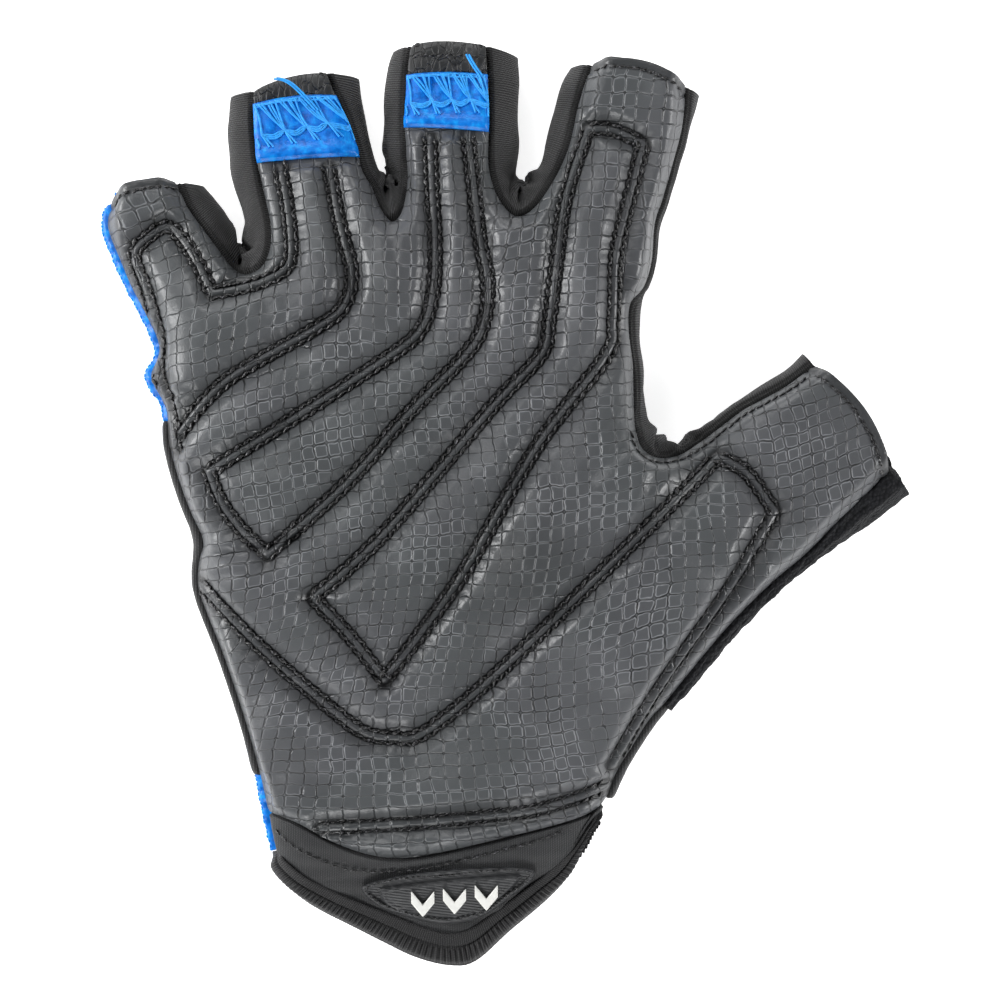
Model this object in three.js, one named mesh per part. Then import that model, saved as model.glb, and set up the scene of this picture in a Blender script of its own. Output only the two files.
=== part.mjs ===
// Half-finger weightlifting glove for the right hand, lying on its back with the palm up.
// Millimetres, +Z up, +Y towards the fingers, +X towards the thumb. The origin is on the
// surface that the glove lies on, under the middle of its outline.
import * as THREE from 'three';

// Driving sizes of the whole glove
const GLOVE_LENGTH = 185.8;      // cuff tip to the end of the middle finger
const GLOVE_WIDTH = 162.4;       // little-finger side to the end of the thumb
const PALM_HEIGHT = 21;          // as it lies, at its fullest
const WRIST_HEIGHT = 17;         // at the seam between leather and cuff
const CUFF_TIP_HEIGHT = 9;       // at the point of the cuff
const FINGER_HEIGHT = 13;        // at the open end of a finger
const THUMB_HEIGHT = 15;         // at the open end of the thumb
const SEAM_LEVEL = 0.42;         // height of the side seam, as a share of the height there

// Walls, reliefs and gaps
const LEATHER_WALL = 1.6;
const PAD_RISE = 1.5;            // foam under the leather between the stitched channels
const PAD_SHOULDER = 2.8;        // from a channel's middle to the full height of a pad
const BACK_WALL = 1.2;
const TERRY_WALL = 2;
const KNIT_WALL = 1.2;
const CUFF_WALL = 1.3;
const BINDING_WALL = 2.4;
const TRIM_WALL = 1;
const TAB_WALL = 1;
const BADGE_WALL = 1.4;
const MARK_RISE = 0.9;
const BACK_SEAM = 2;             // from the outline in to the seams under the glove
const PIECE_GAP = 0.3;

// How finely the pieces are divided
const FINGER_ROWS = 7;
const PALM_ROWS = { toCrotch: 12, alongThumb: 12, toWrist: 6 };
const THUMB_ROWS = 9;
const CUFF_ROWS = 3;
const CUFF_COLUMNS = 20;
const CURVE_STEPS = 4;           // straight pieces between two rows of an outline, for distances

// The drawing of the glove. Places are in percent: x of GLOVE_WIDTH from the little-finger side,
// y of GLOVE_LENGTH from the cuff's tip. MIDDLE is the drawing's point above the origin.
const MIDDLE = { x: 50.1, y: 49.8 };

const table = (names, rows) => rows.map((row) => (
  Object.fromEntries(names.split(' ').map((name, k) => [name, row[k]]))
));

const place = (x, y) => new THREE.Vector2(
  (x - MIDDLE.x) / 100 * GLOVE_WIDTH,
  (y - MIDDLE.y) / 100 * GLOVE_LENGTH,
);

// A side runs along the outline: (x, y) is the edge of the leather or of a piece in its place,
// and (ex, ey) the outermost edge of the glove beside it.
const SIDES = {
  little: table('x y ex ey', [
    [1.8, 82.7, 0.5, 81.5],
    [1.4, 79.7, 0.3, 79.5],
    [3.0, 76.1, 1.8, 76.0],
    [4.4, 73.2, 3.4, 73.2],
    [6.2, 70.3, 5.2, 70.1],
    [7.9, 66.7, 7.0, 66.4],
    [6.9, 63.6, 5.8, 63.4],
    [8.7, 60.0, 7.9, 60.4],
    [9.0, 56.6, 8.4, 56.6],
    [10.2, 52.7, 9.5, 52.6],
    [11.7, 49.1, 10.9, 49.1],
    [13.3, 46.0, 12.2, 46.3],
    [12.8, 43.9, 12.0, 43.7],
    [12.6, 41.1, 12.0, 41.0],
    [13.9, 37.7, 13.3, 37.6],
    [15.6, 33.9, 15.0, 33.9],
    [17.6, 28.7, 17.0, 28.7],
    [19.1, 24.3, 18.5, 24.3],
    [20.3, 20.5, 19.4, 20.4],
    [21.2, 17.0, 20.2, 16.8],
    [22.4, 12.7, 21.2, 12.4],
  ]),
  little_ring: table('x y ex ey', [
    [10.1, 84.6, 13.1, 84.4],
    [11.5, 81.9, 14.0, 83.4],
    [13.3, 79.7, 15.4, 81.8],
    [15.3, 77.4, 16.6, 80.1],
    [16.9, 75.6, 17.4, 78.4],
    [18.6, 74.6, 18.1, 76.6],
    [20.6, 75.3, 18.4, 78.1],
    [21.7, 77.3, 18.3, 79.9],
    [21.7, 80.0, 17.7, 82.2],
    [20.8, 83.5, 16.8, 84.4],
    [20.1, 86.7, 16.3, 87.2],
    [19.6, 90.7, 16.1, 90.7],
    [19.5, 94.4, 16.5, 94.0],
  ]),
  ring_middle: table('x y ex ey', [
    [28.6, 96.3, 32.3, 96.0],
    [29.6, 94.0, 32.8, 93.1],
    [31.0, 91.3, 33.5, 90.5],
    [32.1, 88.4, 34.2, 88.2],
    [33.0, 85.9, 34.9, 86.5],
    [34.4, 83.7, 35.5, 85.7],
    [35.3, 81.6, 36.0, 85.1],
    [36.7, 80.1, 36.3, 84.6],
    [37.9, 81.3, 36.5, 85.5],
    [38.4, 84.5, 35.8, 86.4],
    [38.3, 87.6, 35.2, 88.1],
    [38.2, 90.7, 35.4, 91.1],
    [38.3, 93.9, 35.5, 94.1],
    [38.5, 96.9, 35.9, 97.1],
    [38.9, 99.4, 36.6, 98.9],
  ]),
  middle_index: table('x y ex ey', [
    [48.2, 99.2, 52.2, 98.3],
    [48.4, 95.9, 52.3, 95.6],
    [48.5, 92.6, 52.1, 92.1],
    [48.5, 89.1, 52.2, 88.9],
    [48.6, 85.9, 52.0, 86.8],
    [49.5, 83.2, 51.7, 85.5],
    [50.7, 81.5, 52.0, 84.7],
    [52.1, 80.7, 52.5, 84.0],
    [53.8, 81.5, 53.1, 84.8],
    [55.5, 83.4, 53.9, 85.9],
    [57.0, 85.7, 54.9, 87.0],
    [58.4, 88.7, 55.7, 89.7],
    [59.4, 92.7, 56.8, 93.2],
    [60.5, 95.8, 57.6, 95.8],
    [61.2, 97.4, 58.6, 97.2],
  ]),
  index_thumb: table('x y ex ey', [
    [72.9, 94.9, 74.6, 94.2],
    [72.5, 90.6, 73.4, 90.2],
    [71.4, 86.8, 72.3, 86.7],
    [70.1, 82.8, 70.9, 83.0],
    [69.1, 80.1, 69.8, 80.1],
    [68.7, 76.0, 69.3, 76.0],
    [67.7, 73.2, 68.4, 73.6],
    [66.0, 71.4, 67.6, 72.1],
    [65.8, 68.6, 67.2, 68.7],
    [66.3, 64.9, 67.7, 64.9],
    [66.4, 61.7, 67.6, 61.7],
    [66.5, 58.5, 68.2, 59.0],
    [67.2, 56.1, 69.5, 57.6],
    [69.1, 55.0, 70.4, 56.5],
    [71.8, 55.3, 71.9, 56.5],
    [74.4, 56.7, 74.0, 57.9],
    [77.2, 58.5, 76.5, 59.3],
    [79.8, 60.2, 79.1, 61.0],
    [82.4, 61.4, 82.0, 62.6],
    [85.2, 62.8, 84.8, 64.2],
    [88.4, 64.9, 87.4, 66.2],
  ]),
  thumb: table('x y ex ey', [
    [97.6, 53.1, 100.0, 51.1],
    [96.8, 52.5, 98.3, 50.4],
    [95.3, 51.3, 96.3, 48.8],
    [93.6, 49.9, 94.0, 47.4],
    [91.5, 48.1, 91.3, 45.9],
    [89.3, 46.0, 89.2, 44.6],
    [86.8, 43.9, 87.3, 43.2],
    [83.4, 41.4, 83.9, 40.9],
    [78.3, 37.0, 78.9, 36.5],
    [73.3, 31.8, 73.9, 31.3],
    [70.3, 28.5, 70.9, 28.1],
    [68.5, 26.8, 69.1, 26.4],
    [66.3, 23.8, 66.9, 23.5],
    [64.4, 21.1, 65.1, 20.8],
    [63.2, 18.4, 63.9, 18.1],
    [62.3, 16.6, 63.3, 16.4],
  ]),
};

// Rows of those tables where one stretch of the glove ends and the next begins
const KNUCKLE_ROW = 3;           // of little, at the root of the little finger
const WRIST_ROW = 19;            // of little, at the seam of the cuff
const CROTCH_ROWS = { little_ring: 5, ring_middle: 7, middle_index: 7 };
const INDEX_ROOT_ROW = 4;        // of index_thumb
const THUMB_CROTCH_ROW = 13;     // of index_thumb
const THUMB_ROOT_ROW = 10;       // of thumb, at its lower side
const THUMB_WRIST_ROW = 14;      // of thumb, at the seam of the cuff

// Digits: the middle of each open end, how far its rim bows out in mm, and how far the
// finger keeps sloping up from it
const DIGITS = table('name x y bow height reach', [
  ['little', 6.0, 83.8, 2.0, FINGER_HEIGHT, 34],
  ['ring', 24.0, 95.6, 1.0, FINGER_HEIGHT, 44],
  ['middle', 43.6, 99.6, 0.3, FINGER_HEIGHT, 46],
  ['index', 67.1, 96.2, 2.6, FINGER_HEIGHT, 46],
  ['thumb', 93.2, 59.6, 3.2, THUMB_HEIGHT, 48],
]);

// Height of the palm side along the glove, as shares of PALM_HEIGHT
const HEIGHTS = table('y share', [
  [0, CUFF_TIP_HEIGHT / PALM_HEIGHT],
  [17, WRIST_HEIGHT / PALM_HEIGHT],
  [45, 1],
  [70, 0.97],
  [100, 0.9],
]);

// Soft mounds of the palm: the heel, the ball of the thumb and the hollow between them
const MOUNDS = table('x y rise radius', [
  [27, 33, 0.06, 13],
  [66, 42, 0.10, 15],
  [46, 30, -0.07, 12],
  [30, 60, 0.03, 12],
]);

// Middle lines of the stitched channels between the pads
const CHANNELS = [
  table('x y', [
    [10.2, 55.9], [9.5, 59.8], [8.0, 64.4], [8.0, 68.1], [6.5, 72.8], [5.0, 76.6], [7.0, 78.8],
    [9.0, 79.7], [10.6, 78.7], [12.7, 76.0], [14.8, 72.4],
  ]),
  table('x y', [
    [14.8, 72.4], [19.3, 73.2], [23.2, 74.6], [24.4, 76.4], [24.0, 81.1], [22.8, 86.7],
  ]),
  table('x y', [
    [28.9, 86.0], [30.3, 79.9], [31.8, 74.7], [31.0, 71.2], [28.0, 68.9], [18.2, 64.0],
    [14.2, 61.1], [10.6, 57.3],
  ]),
  table('x y', [
    [41.3, 89.1], [41.6, 83.5], [42.0, 77.3], [41.7, 72.4], [40.5, 68.9], [37.2, 66.1],
    [24.0, 58.6], [14.4, 53.4],
  ]),
  table('x y', [[14.4, 53.4], [16.0, 50.1], [18.6, 47.1], [21.7, 44.6]]),
  table('x y', [
    [21.7, 44.6], [31.2, 52.1], [38.4, 59.2], [45.6, 65.7], [47.9, 69.1], [48.4, 73.6],
    [47.4, 78.4], [45.9, 89.7],
  ]),
  table('x y', [
    [27.2, 40.0], [35.7, 46.7], [49.0, 60.3], [54.9, 65.8], [55.9, 69.5], [56.7, 75.1],
    [58.0, 82.9], [60.7, 90.2],
  ]),
  table('x y', [[60.7, 90.2], [63.7, 90.1], [67.5, 88.6]]),
  table('x y', [
    [67.5, 88.6], [65.3, 81.3], [64.0, 76.2], [63.7, 69.5], [62.8, 65.8], [54.4, 56.1],
    [46.2, 43.7], [41.4, 37.6], [35.8, 31.2],
  ]),
  table('x y', [[35.8, 31.2], [31.6, 35.9], [27.2, 40.0]]),
  table('x y', [
    [13.1, 41.4], [20.3, 35.1], [29.6, 27.9], [33.5, 25.5], [36.9, 25.0], [40.6, 25.5],
    [49.1, 31.5], [59.7, 40.5], [71.7, 50.8], [76.5, 55.0],
  ]),
  table('x y', [[76.5, 55.0], [79.9, 53.3], [82.8, 49.9], [83.4, 49.1]]),
  table('x y', [[83.4, 49.1], [78.1, 41.4], [70.8, 32.2], [67.0, 26.9], [63.7, 21.9]]),
  table('x y', [[28.0, 15.3], [38.8, 15.8], [47.7, 16.5], [55.2, 17.4], [63.4, 19.8]]),
];

// Lower edge of the leather, from the little-finger side to the thumb side
const LEATHER_HEM = table('x y', [
  [21.2, 17.0], [25.2, 15.8], [28.9, 14.0], [33.3, 12.5], [37.6, 12.0], [42.5, 12.6],
  [50.7, 14.3], [57.3, 15.8], [61.2, 17.0], [63.2, 18.4],
]);

// The bound edge of the cuff: (x, y) is its inner side, (ex, ey) the rim of the glove
const BINDING = table('x y ex ey', [
  [22.4, 12.7, 20.9, 12.1],
  [23.4, 11.4, 21.6, 10.3],
  [25.9, 9.6, 24.3, 8.1],
  [29.7, 7.8, 28.0, 6.0],
  [33.6, 6.4, 31.9, 4.2],
  [37.3, 5.1, 35.6, 2.5],
  [40.6, 3.9, 39.4, 0.9],
  [43.5, 3.3, 43.7, 0.0],
  [46.2, 3.8, 46.9, 0.5],
  [49.4, 5.8, 51.1, 3.8],
  [53.4, 8.5, 55.4, 7.1],
  [56.8, 10.8, 58.7, 10.2],
  [59.0, 12.9, 60.2, 13.5],
  [60.6, 15.1, 61.7, 15.9],
  [62.1, 16.9, 62.9, 17.3],
]);

// Outline of the badge on the cuff and the three marks raised on it
const BADGE = table('x y', [
  [32.9, 8.4], [34.0, 9.3], [38.4, 10.2], [44.0, 10.8], [49.4, 11.0], [53.8, 10.8],
  [53.6, 9.4], [51.2, 7.8], [48.6, 6.0], [45.6, 4.9], [42.4, 4.7], [38.4, 5.5], [35.0, 6.7],
]);
const MARKS = table('x y', [[40.4, 7.0], [44.3, 7.3], [48.2, 7.7]]);
const MARK_SIZE = { width: 4.6, height: 5.4, arm: 2 };

const COLOURS = {
  leather: 0x505355, back: 0x262628, terry: 0x2d2d32, knit: 0x232325, hem: 0x2a2b2c,
  blue: 0x196edc, cuff: 0x262628, binding: 0x232325, badge: 0x2b2c2e, mark: 0xe1e1dc,
};

// A smooth curve through the rows of a table, read at any row number in between
const blendRows = (rows, key, at) => {
  const k = Math.min(Math.max(Math.floor(at), 0), rows.length - 2);
  const t = at - k;
  const [a, b, c, d] = [k - 1, k, k + 1, k + 2].map((i) => (
    rows[Math.min(Math.max(i, 0), rows.length - 1)][key]
  ));
  return b + 0.5 * t * (c - a + t * (2 * a - 5 * b + 4 * c - d + t * (3 * (b - c) + d - a)));
};
const leatherEdge = (rows, at) => place(blendRows(rows, 'x', at), blendRows(rows, 'y', at));
const gloveEdge = (rows, at) => place(blendRows(rows, 'ex', at), blendRows(rows, 'ey', at));

// Row numbers from one row to another that divide the edge of the leather evenly, or by
// the shares given
const evenRows = (rows, from, to, count, shares) => {
  const fine = 12 * Math.ceil(Math.abs(to - from));
  const at = Array.from({ length: fine + 1 }, (_, k) => from + (to - from) * k / fine);
  const points = at.map((row) => leatherEdge(rows, row));
  const run = [0];
  for (let k = 1; k <= fine; k += 1) {
    run.push(run[k - 1] + points[k].distanceTo(points[k - 1]));
  }
  const wanted = shares ?? Array.from({ length: count + 1 }, (_, k) => k / count);
  return wanted.map((share) => {
    const length = share * run[fine];
    const k = Math.min(run.findIndex((value) => value >= length - 1e-9), fine);
    if (k <= 0) return at[0];
    const part = (length - run[k - 1]) / (run[k] - run[k - 1]);
    return at[k - 1] + (at[k] - at[k - 1]) * part;
  });
};

const stationsOf = (rows, numbers) => numbers.map((at) => (
  { inner: leatherEdge(rows, at), edge: gloveEdge(rows, at) }
));

// The outline as chains of short straight pieces. Each is drawn on past the open ends, so that
// the distance to it is the distance to the sides alone.
const PAST_END = 30;
const chainOf = (rows, pointAt) => {
  const count = (rows.length - 1) * CURVE_STEPS;
  const points = Array.from({ length: count + 1 }, (_, k) => pointAt(rows, k / CURVE_STEPS));
  const past = (end, before) => end.clone().add(
    end.clone().sub(before).normalize().multiplyScalar(PAST_END),
  );
  return [past(points[0], points[1]), ...points, past(points[count], points[count - 1])];
};
const OUTLINE = Object.values(SIDES).map((rows) => chainOf(rows, gloveEdge));

const nearest = (point, chains) => {
  const best = { distance: Infinity, point: null };
  const step = new THREE.Vector2();
  const away = new THREE.Vector2();
  chains.forEach((chain) => {
    for (let k = 1; k < chain.length; k += 1) {
      step.subVectors(chain[k], chain[k - 1]);
      away.subVectors(point, chain[k - 1]);
      const t = Math.min(Math.max(away.dot(step) / step.lengthSq(), 0), 1);
      const distance = away.addScaledVector(step, -t).length();
      if (distance < best.distance) {
        best.distance = distance;
        best.point = chain[k - 1].clone().addScaledVector(step, t);
      }
    }
  });
  return best;
};

const smooth = (value) => {
  const t = Math.min(Math.max(value, 0), 1);
  return t * t * (3 - 2 * t);
};

// Full height of the glove over a point, before its sides round off
const fullHeight = (point) => {
  const x = point.x / GLOVE_WIDTH * 100 + MIDDLE.x;
  const y = point.y / GLOVE_LENGTH * 100 + MIDDLE.y;
  const next = Math.max(HEIGHTS.findIndex((row) => row.y > y), 1);
  const [low, high] = [HEIGHTS[next - 1], HEIGHTS[next]];
  const t = smooth((y - low.y) / (high.y - low.y));
  let share = low.share + (high.share - low.share) * t;
  MOUNDS.forEach((mound) => {
    const far = Math.hypot(x - mound.x, y - mound.y) / mound.radius;
    share += mound.rise * Math.exp(-far * far);
  });
  let height = PALM_HEIGHT * share;
  DIGITS.forEach((digit) => {
    const far = point.distanceTo(place(digit.x, digit.y)) / digit.reach;
    height = Math.min(height, digit.height + (PALM_HEIGHT * share - digit.height) * smooth(far));
  });
  return height;
};

// A point of the glove's skin over or under a place in its outline, and the way it faces.
// Both sides round off in a quarter circle down or up to the seam level at the outline.
const skinPoint = (point, side, facing) => {
  const height = fullHeight(point);
  const seam = SEAM_LEVEL * height;
  const radius = side === 'front' ? height - seam : seam;
  const near = nearest(point, OUTLINE);
  const distance = side === 'edge' ? 0 : near.distance;
  const out = facing ?? point.clone().sub(near.point).multiplyScalar(-1).normalize();
  const sideways = Math.max(1 - distance / radius, 0);
  const rise = Math.sqrt(1 - sideways * sideways);
  const up = side === 'back' ? -1 : 1;
  return {
    at: new THREE.Vector3(point.x, point.y, seam + up * rise * radius),
    normal: new THREE.Vector3(out.x * sideways, out.y * sideways, up * rise).normalize(),
  };
};

// A wall under construction: vertices shared by their place in the outline, each with an outer
// and an inner point, and four-sided cells between them
class Wall {
  constructor(thickness, lift = 0) {
    this.thickness = thickness;
    this.lift = lift;
    this.vertices = [];
    this.cells = [];
    this.middles = [];
    this.known = new Map();
  }

  vertex({ point, side = 'front', facing, rise = 0, ridge = false, moved = point }) {
    const key = `${side} ${point.x.toFixed(3)} ${point.y.toFixed(3)}`;
    if (!this.known.has(key)) {
      const { at, normal } = skinPoint(moved, side, facing);
      this.known.set(key, this.vertices.length);
      this.vertices.push({
        outer: at.clone().addScaledVector(normal, this.lift + rise),
        inner: at.clone().addScaledVector(normal, this.lift - this.thickness),
        ridge,
      });
    }
    return this.known.get(key);
  }

  // Rows and columns of vertex descriptions. A grid whose rows run away from its neighbour's
  // is mirrored, so that all cells of a wall turn the same way.
  grid(rows, mirrored = false) {
    const numbers = rows.map((row) => row.map((entry) => this.vertex(entry)));
    for (let i = 1; i < numbers.length; i += 1) {
      for (let j = 1; j < numbers[i].length; j += 1) {
        const cell = [numbers[i - 1][j - 1], numbers[i][j - 1], numbers[i][j], numbers[i - 1][j]];
        this.cells.push(mirrored ? cell.reverse() : cell);
      }
    }
  }

  // Triangles from the last row of a closed grid to one vertex in its middle
  closeRow(row, middle) {
    const centre = this.vertex(middle);
    const numbers = row.map((entry) => this.vertex(entry));
    for (let k = 1; k < numbers.length; k += 1) {
      this.middles.push([numbers[k], numbers[k - 1], centre]);
    }
  }

  // Two triangles to a cell, divided along a channel where one crosses it
  triangles() {
    const halves = this.cells.flatMap(([a, b, c, d]) => {
      const across = this.vertices[b].ridge && this.vertices[d].ridge;
      const along = this.vertices[a].ridge && this.vertices[c].ridge;
      return across && !along ? [[a, b, d], [b, c, d]] : [[a, b, c], [a, c, d]];
    });
    return [...halves, ...this.middles];
  }

  geometry() {
    const skin = this.triangles();
    const count = this.vertices.length;
    const edges = new Map();
    skin.forEach(([a, b, c]) => {
      [[a, b], [b, c], [c, a]].forEach(([from, to]) => {
        if (!edges.delete(`${to} ${from}`)) edges.set(`${from} ${to}`, [from, to]);
      });
    });
    const faces = [
      ...skin,
      ...skin.map(([a, b, c]) => [a + count, c + count, b + count]),
      ...[...edges.values()].flatMap(([from, to]) => [
        [to, from, from + count],
        [to, from + count, to + count],
      ]),
    ];
    const points = [
      ...this.vertices.map((vertex) => vertex.outer),
      ...this.vertices.map((vertex) => vertex.inner),
    ];
    let volume = 0;
    const product = new THREE.Vector3();
    faces.forEach(([a, b, c]) => {
      volume += points[a].dot(product.crossVectors(points[b], points[c])) / 6;
    });
    const outward = volume > 0 ? faces : faces.map(([a, b, c]) => [a, c, b]);
    const geometry = new THREE.BufferGeometry();
    const positions = points.flatMap((point) => point.toArray());
    geometry.setAttribute('position', new THREE.Float32BufferAttribute(positions, 3));
    geometry.setIndex(outward.flat());
    geometry.computeVertexNormals();
    return geometry;
  }
}

const group = new THREE.Group();
const addPiece = (name, wall, colour, roughness) => {
  const material = new THREE.MeshStandardMaterial({ color: colour, roughness, metalness: 0 });
  const mesh = new THREE.Mesh(wall.geometry(), material);
  mesh.name = name;
  group.add(mesh);
};

// Row numbers along every side, shared by all the pieces that meet there
const upTo = (count) => Array.from({ length: count + 1 }, (_, k) => k / count);
const reversed = (values) => [...values].reverse();
const FINGER_SIDES = {
  little: {
    left: [SIDES.little, 0, KNUCKLE_ROW],
    right: [SIDES.little_ring, 0, CROTCH_ROWS.little_ring],
  },
  ring: {
    left: [SIDES.little_ring, SIDES.little_ring.length - 1, CROTCH_ROWS.little_ring],
    right: [SIDES.ring_middle, 0, CROTCH_ROWS.ring_middle],
    leftRows: [0, 0.07, 0.22, 0.37, 0.53, 0.69, 0.85, 1],
    rightRows: [0, 0.15, 0.35, 0.55, 0.67, 0.79, 0.9, 1],
  },
  middle: {
    left: [SIDES.ring_middle, SIDES.ring_middle.length - 1, CROTCH_ROWS.ring_middle],
    right: [SIDES.middle_index, 0, CROTCH_ROWS.middle_index],
    leftRows: [0, 0.17, 0.32, 0.46, 0.6, 0.74, 0.88, 1],
    rightRows: [0, 0.16, 0.32, 0.48, 0.61, 0.74, 0.88, 1],
  },
  index: {
    left: [SIDES.middle_index, SIDES.middle_index.length - 1, CROTCH_ROWS.middle_index],
    right: [SIDES.index_thumb, 0, INDEX_ROOT_ROW],
  },
};
const sideStations = ([rows, from, to], shares = upTo(FINGER_ROWS)) => (
  stationsOf(rows, evenRows(rows, from, to, 0, shares))
);
const leftOf = (name) => sideStations(FINGER_SIDES[name].left, FINGER_SIDES[name].leftRows);
const rightOf = (name) => sideStations(FINGER_SIDES[name].right, FINGER_SIDES[name].rightRows);

// The rows of the ring and middle fingers that a tab covers; the leather is flat beneath it
const TAB_ROWS = { from: 1, to: 3 };

// Columns across a finger, closer together where its outer side rolls over
const COLUMNS = {
  little: [0, 0.07, 0.17, 0.31, 0.48, 0.65, 0.82, 1],
  ring: upTo(7),
  middle: upTo(7),
  index: [0, 0.18, 0.35, 0.52, 0.69, 0.83, 0.93, 1],
};
const BACK_COLUMNS = [0, 0.25, 0.75, 1];

// The place of the seam under the glove, moved in by a margin
const seamUnder = (station, margin) => {
  const inward = station.inner.clone().sub(station.edge).normalize();
  return station.edge.clone().addScaledVector(inward, BACK_SEAM + margin);
};

// Rows of points across a finger from its open end to its root
const fingerPoints = (name, columns, pointOf) => {
  const digit = DIGITS.find((row) => row.name === name);
  const lefts = leftOf(name);
  const rights = rightOf(name);
  const middleOf = (k) => lefts[k].inner.clone().add(rights[k].inner).multiplyScalar(0.5);
  const outward = middleOf(0).sub(middleOf(FINGER_ROWS)).normalize();
  return lefts.map((left, k) => {
    const a = pointOf(left);
    const b = pointOf(rights[k]);
    return columns.map((across) => {
      const bow = digit.bow * 4 * across * (1 - across) * (1 - k / FINGER_ROWS) ** 2;
      return a.clone().lerp(b, across).addScaledVector(outward, bow);
    });
  });
};

// A patch between four curves given as rows of points: top and bottom run across, left and
// right run down
const patchBetween = (top, bottom, left, right) => {
  const [a, b] = [top[0], top[top.length - 1]];
  const [c, d] = [bottom[0], bottom[bottom.length - 1]];
  const run = [0];
  for (let k = 1; k < top.length; k += 1) run.push(run[k - 1] + top[k].distanceTo(top[k - 1]));
  const shares = run.map((value) => value / run[run.length - 1]);
  return left.map((_, i) => top.map((__, j) => {
    const t = i / (left.length - 1);
    const s = shares[j];
    const blend = (p, q, u) => p.clone().multiplyScalar(1 - u).addScaledVector(q, u);
    const corners = blend(blend(a, b, s), blend(c, d, s), t);
    return blend(top[j], bottom[j], t).add(blend(left[i], right[i], s)).sub(corners);
  }));
};

const alongRows = (rows, shares) => {
  const fine = 12 * (rows.length - 1);
  const pointAt = (at) => place(blendRows(rows, 'x', at), blendRows(rows, 'y', at));
  const points = Array.from({ length: fine + 1 }, (_, k) => pointAt(k / 12));
  const run = [0];
  for (let k = 1; k <= fine; k += 1) run.push(run[k - 1] + points[k].distanceTo(points[k - 1]));
  return shares.map((share) => {
    const length = share * run[fine];
    const k = Math.max(run.findIndex((value) => value >= length - 1e-9), 1);
    const part = (length - run[k - 1]) / (run[k] - run[k - 1]);
    return points[k - 1].clone().lerp(points[k], Math.min(part, 1));
  });
};
const sharesAlong = (points) => {
  const run = [0];
  for (let k = 1; k < points.length; k += 1) {
    run.push(run[k - 1] + points[k].distanceTo(points[k - 1]));
  }
  return run.map((value) => value / run[run.length - 1]);
};

// Stations down the two sides of the palm. The last rows before the lower side of the thumb
// are closer together, where the leather rolls over.
const THUMB_COLUMNS = [0, 0.1, 0.2, 0.3, 0.4, 0.5, 0.6, 0.7, 0.79, 0.87, 0.93, 0.97, 1];
const palmLeft = stationsOf(SIDES.little, evenRows(
  SIDES.little,
  KNUCKLE_ROW,
  WRIST_ROW,
  PALM_ROWS.toCrotch + PALM_ROWS.alongThumb + PALM_ROWS.toWrist,
));
const indexSide = stationsOf(SIDES.index_thumb, evenRows(
  SIDES.index_thumb,
  INDEX_ROOT_ROW,
  THUMB_CROTCH_ROW,
  PALM_ROWS.toCrotch,
));
const wristSide = stationsOf(SIDES.thumb, evenRows(
  SIDES.thumb,
  THUMB_ROOT_ROW,
  THUMB_WRIST_ROW,
  PALM_ROWS.toWrist,
));
const thumbUpper = stationsOf(SIDES.index_thumb, evenRows(
  SIDES.index_thumb,
  THUMB_CROTCH_ROW,
  SIDES.index_thumb.length - 1,
  THUMB_ROWS,
));
const thumbLower = stationsOf(SIDES.thumb, evenRows(SIDES.thumb, THUMB_ROOT_ROW, 0, THUMB_ROWS));

// The line across the root of the thumb, from its crotch to its lower side
const thumbRoot = (upper, lower) => THUMB_COLUMNS.map((share) => upper.clone().lerp(lower, share));

// The thumb's open end, from its upper side to its lower side
const thumbMouth = (upper, lower) => {
  const digit = DIGITS.find((row) => row.name === 'thumb');
  const outward = new THREE.Vector2(upper.y - lower.y, lower.x - upper.x).normalize();
  return THUMB_COLUMNS.map((share) => (
    upper.clone().lerp(lower, share).addScaledVector(outward, digit.bow * 4 * share * (1 - share))
  ));
};

const channelCurves = CHANNELS.map((rows) => {
  const count = (rows.length - 1) * CURVE_STEPS;
  return Array.from({ length: count + 1 }, (_, k) => {
    const at = k / CURVE_STEPS;
    return place(blendRows(rows, 'x', at), blendRows(rows, 'y', at));
  });
});
const leatherSides = Object.values(SIDES).map((rows) => chainOf(rows, leatherEdge));

// The palm: one sheet of leather, raised into pads between the channels. Points close to a
// channel are moved onto its middle line, so that the groove stays sharp.
const SNAP = 1.7;
const PAD_START = 1.5;           // from the edge of the leather to the first rise of a pad
const PAD_EDGE = 4;              // from there to its full height
const APART = 1;                 // least distance between two such points
const ridgePoints = [];
const padded = (point, fixed) => {
  const channel = nearest(point, channelCurves);
  const taken = ridgePoints.some((other) => other.distanceTo(channel.point) < APART);
  const ridge = !fixed && channel.distance < SNAP && !taken;
  const moved = ridge ? channel.point : point;
  if (ridge) ridgePoints.push(moved);
  const fromChannel = ridge ? 0 : channel.distance;
  const fromEdge = nearest(moved, leatherSides).distance;
  const pad = smooth(fromChannel / PAD_SHOULDER) * smooth((fromEdge - PAD_START) / PAD_EDGE);
  return { point, moved, rise: PAD_RISE * (fixed ? 0 : pad), ridge };
};
const leatherCells = (rows, isFixed) => rows.map((row, i) => row.map((point, j) => (
  padded(point, isFixed(i, j))
)));

const HALF_GAP = PIECE_GAP / 2;
const inFromEdge = (station) => (
  station.inner.clone().addScaledVector(station.inner.clone().sub(station.edge).normalize(), HALF_GAP)
);

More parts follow.
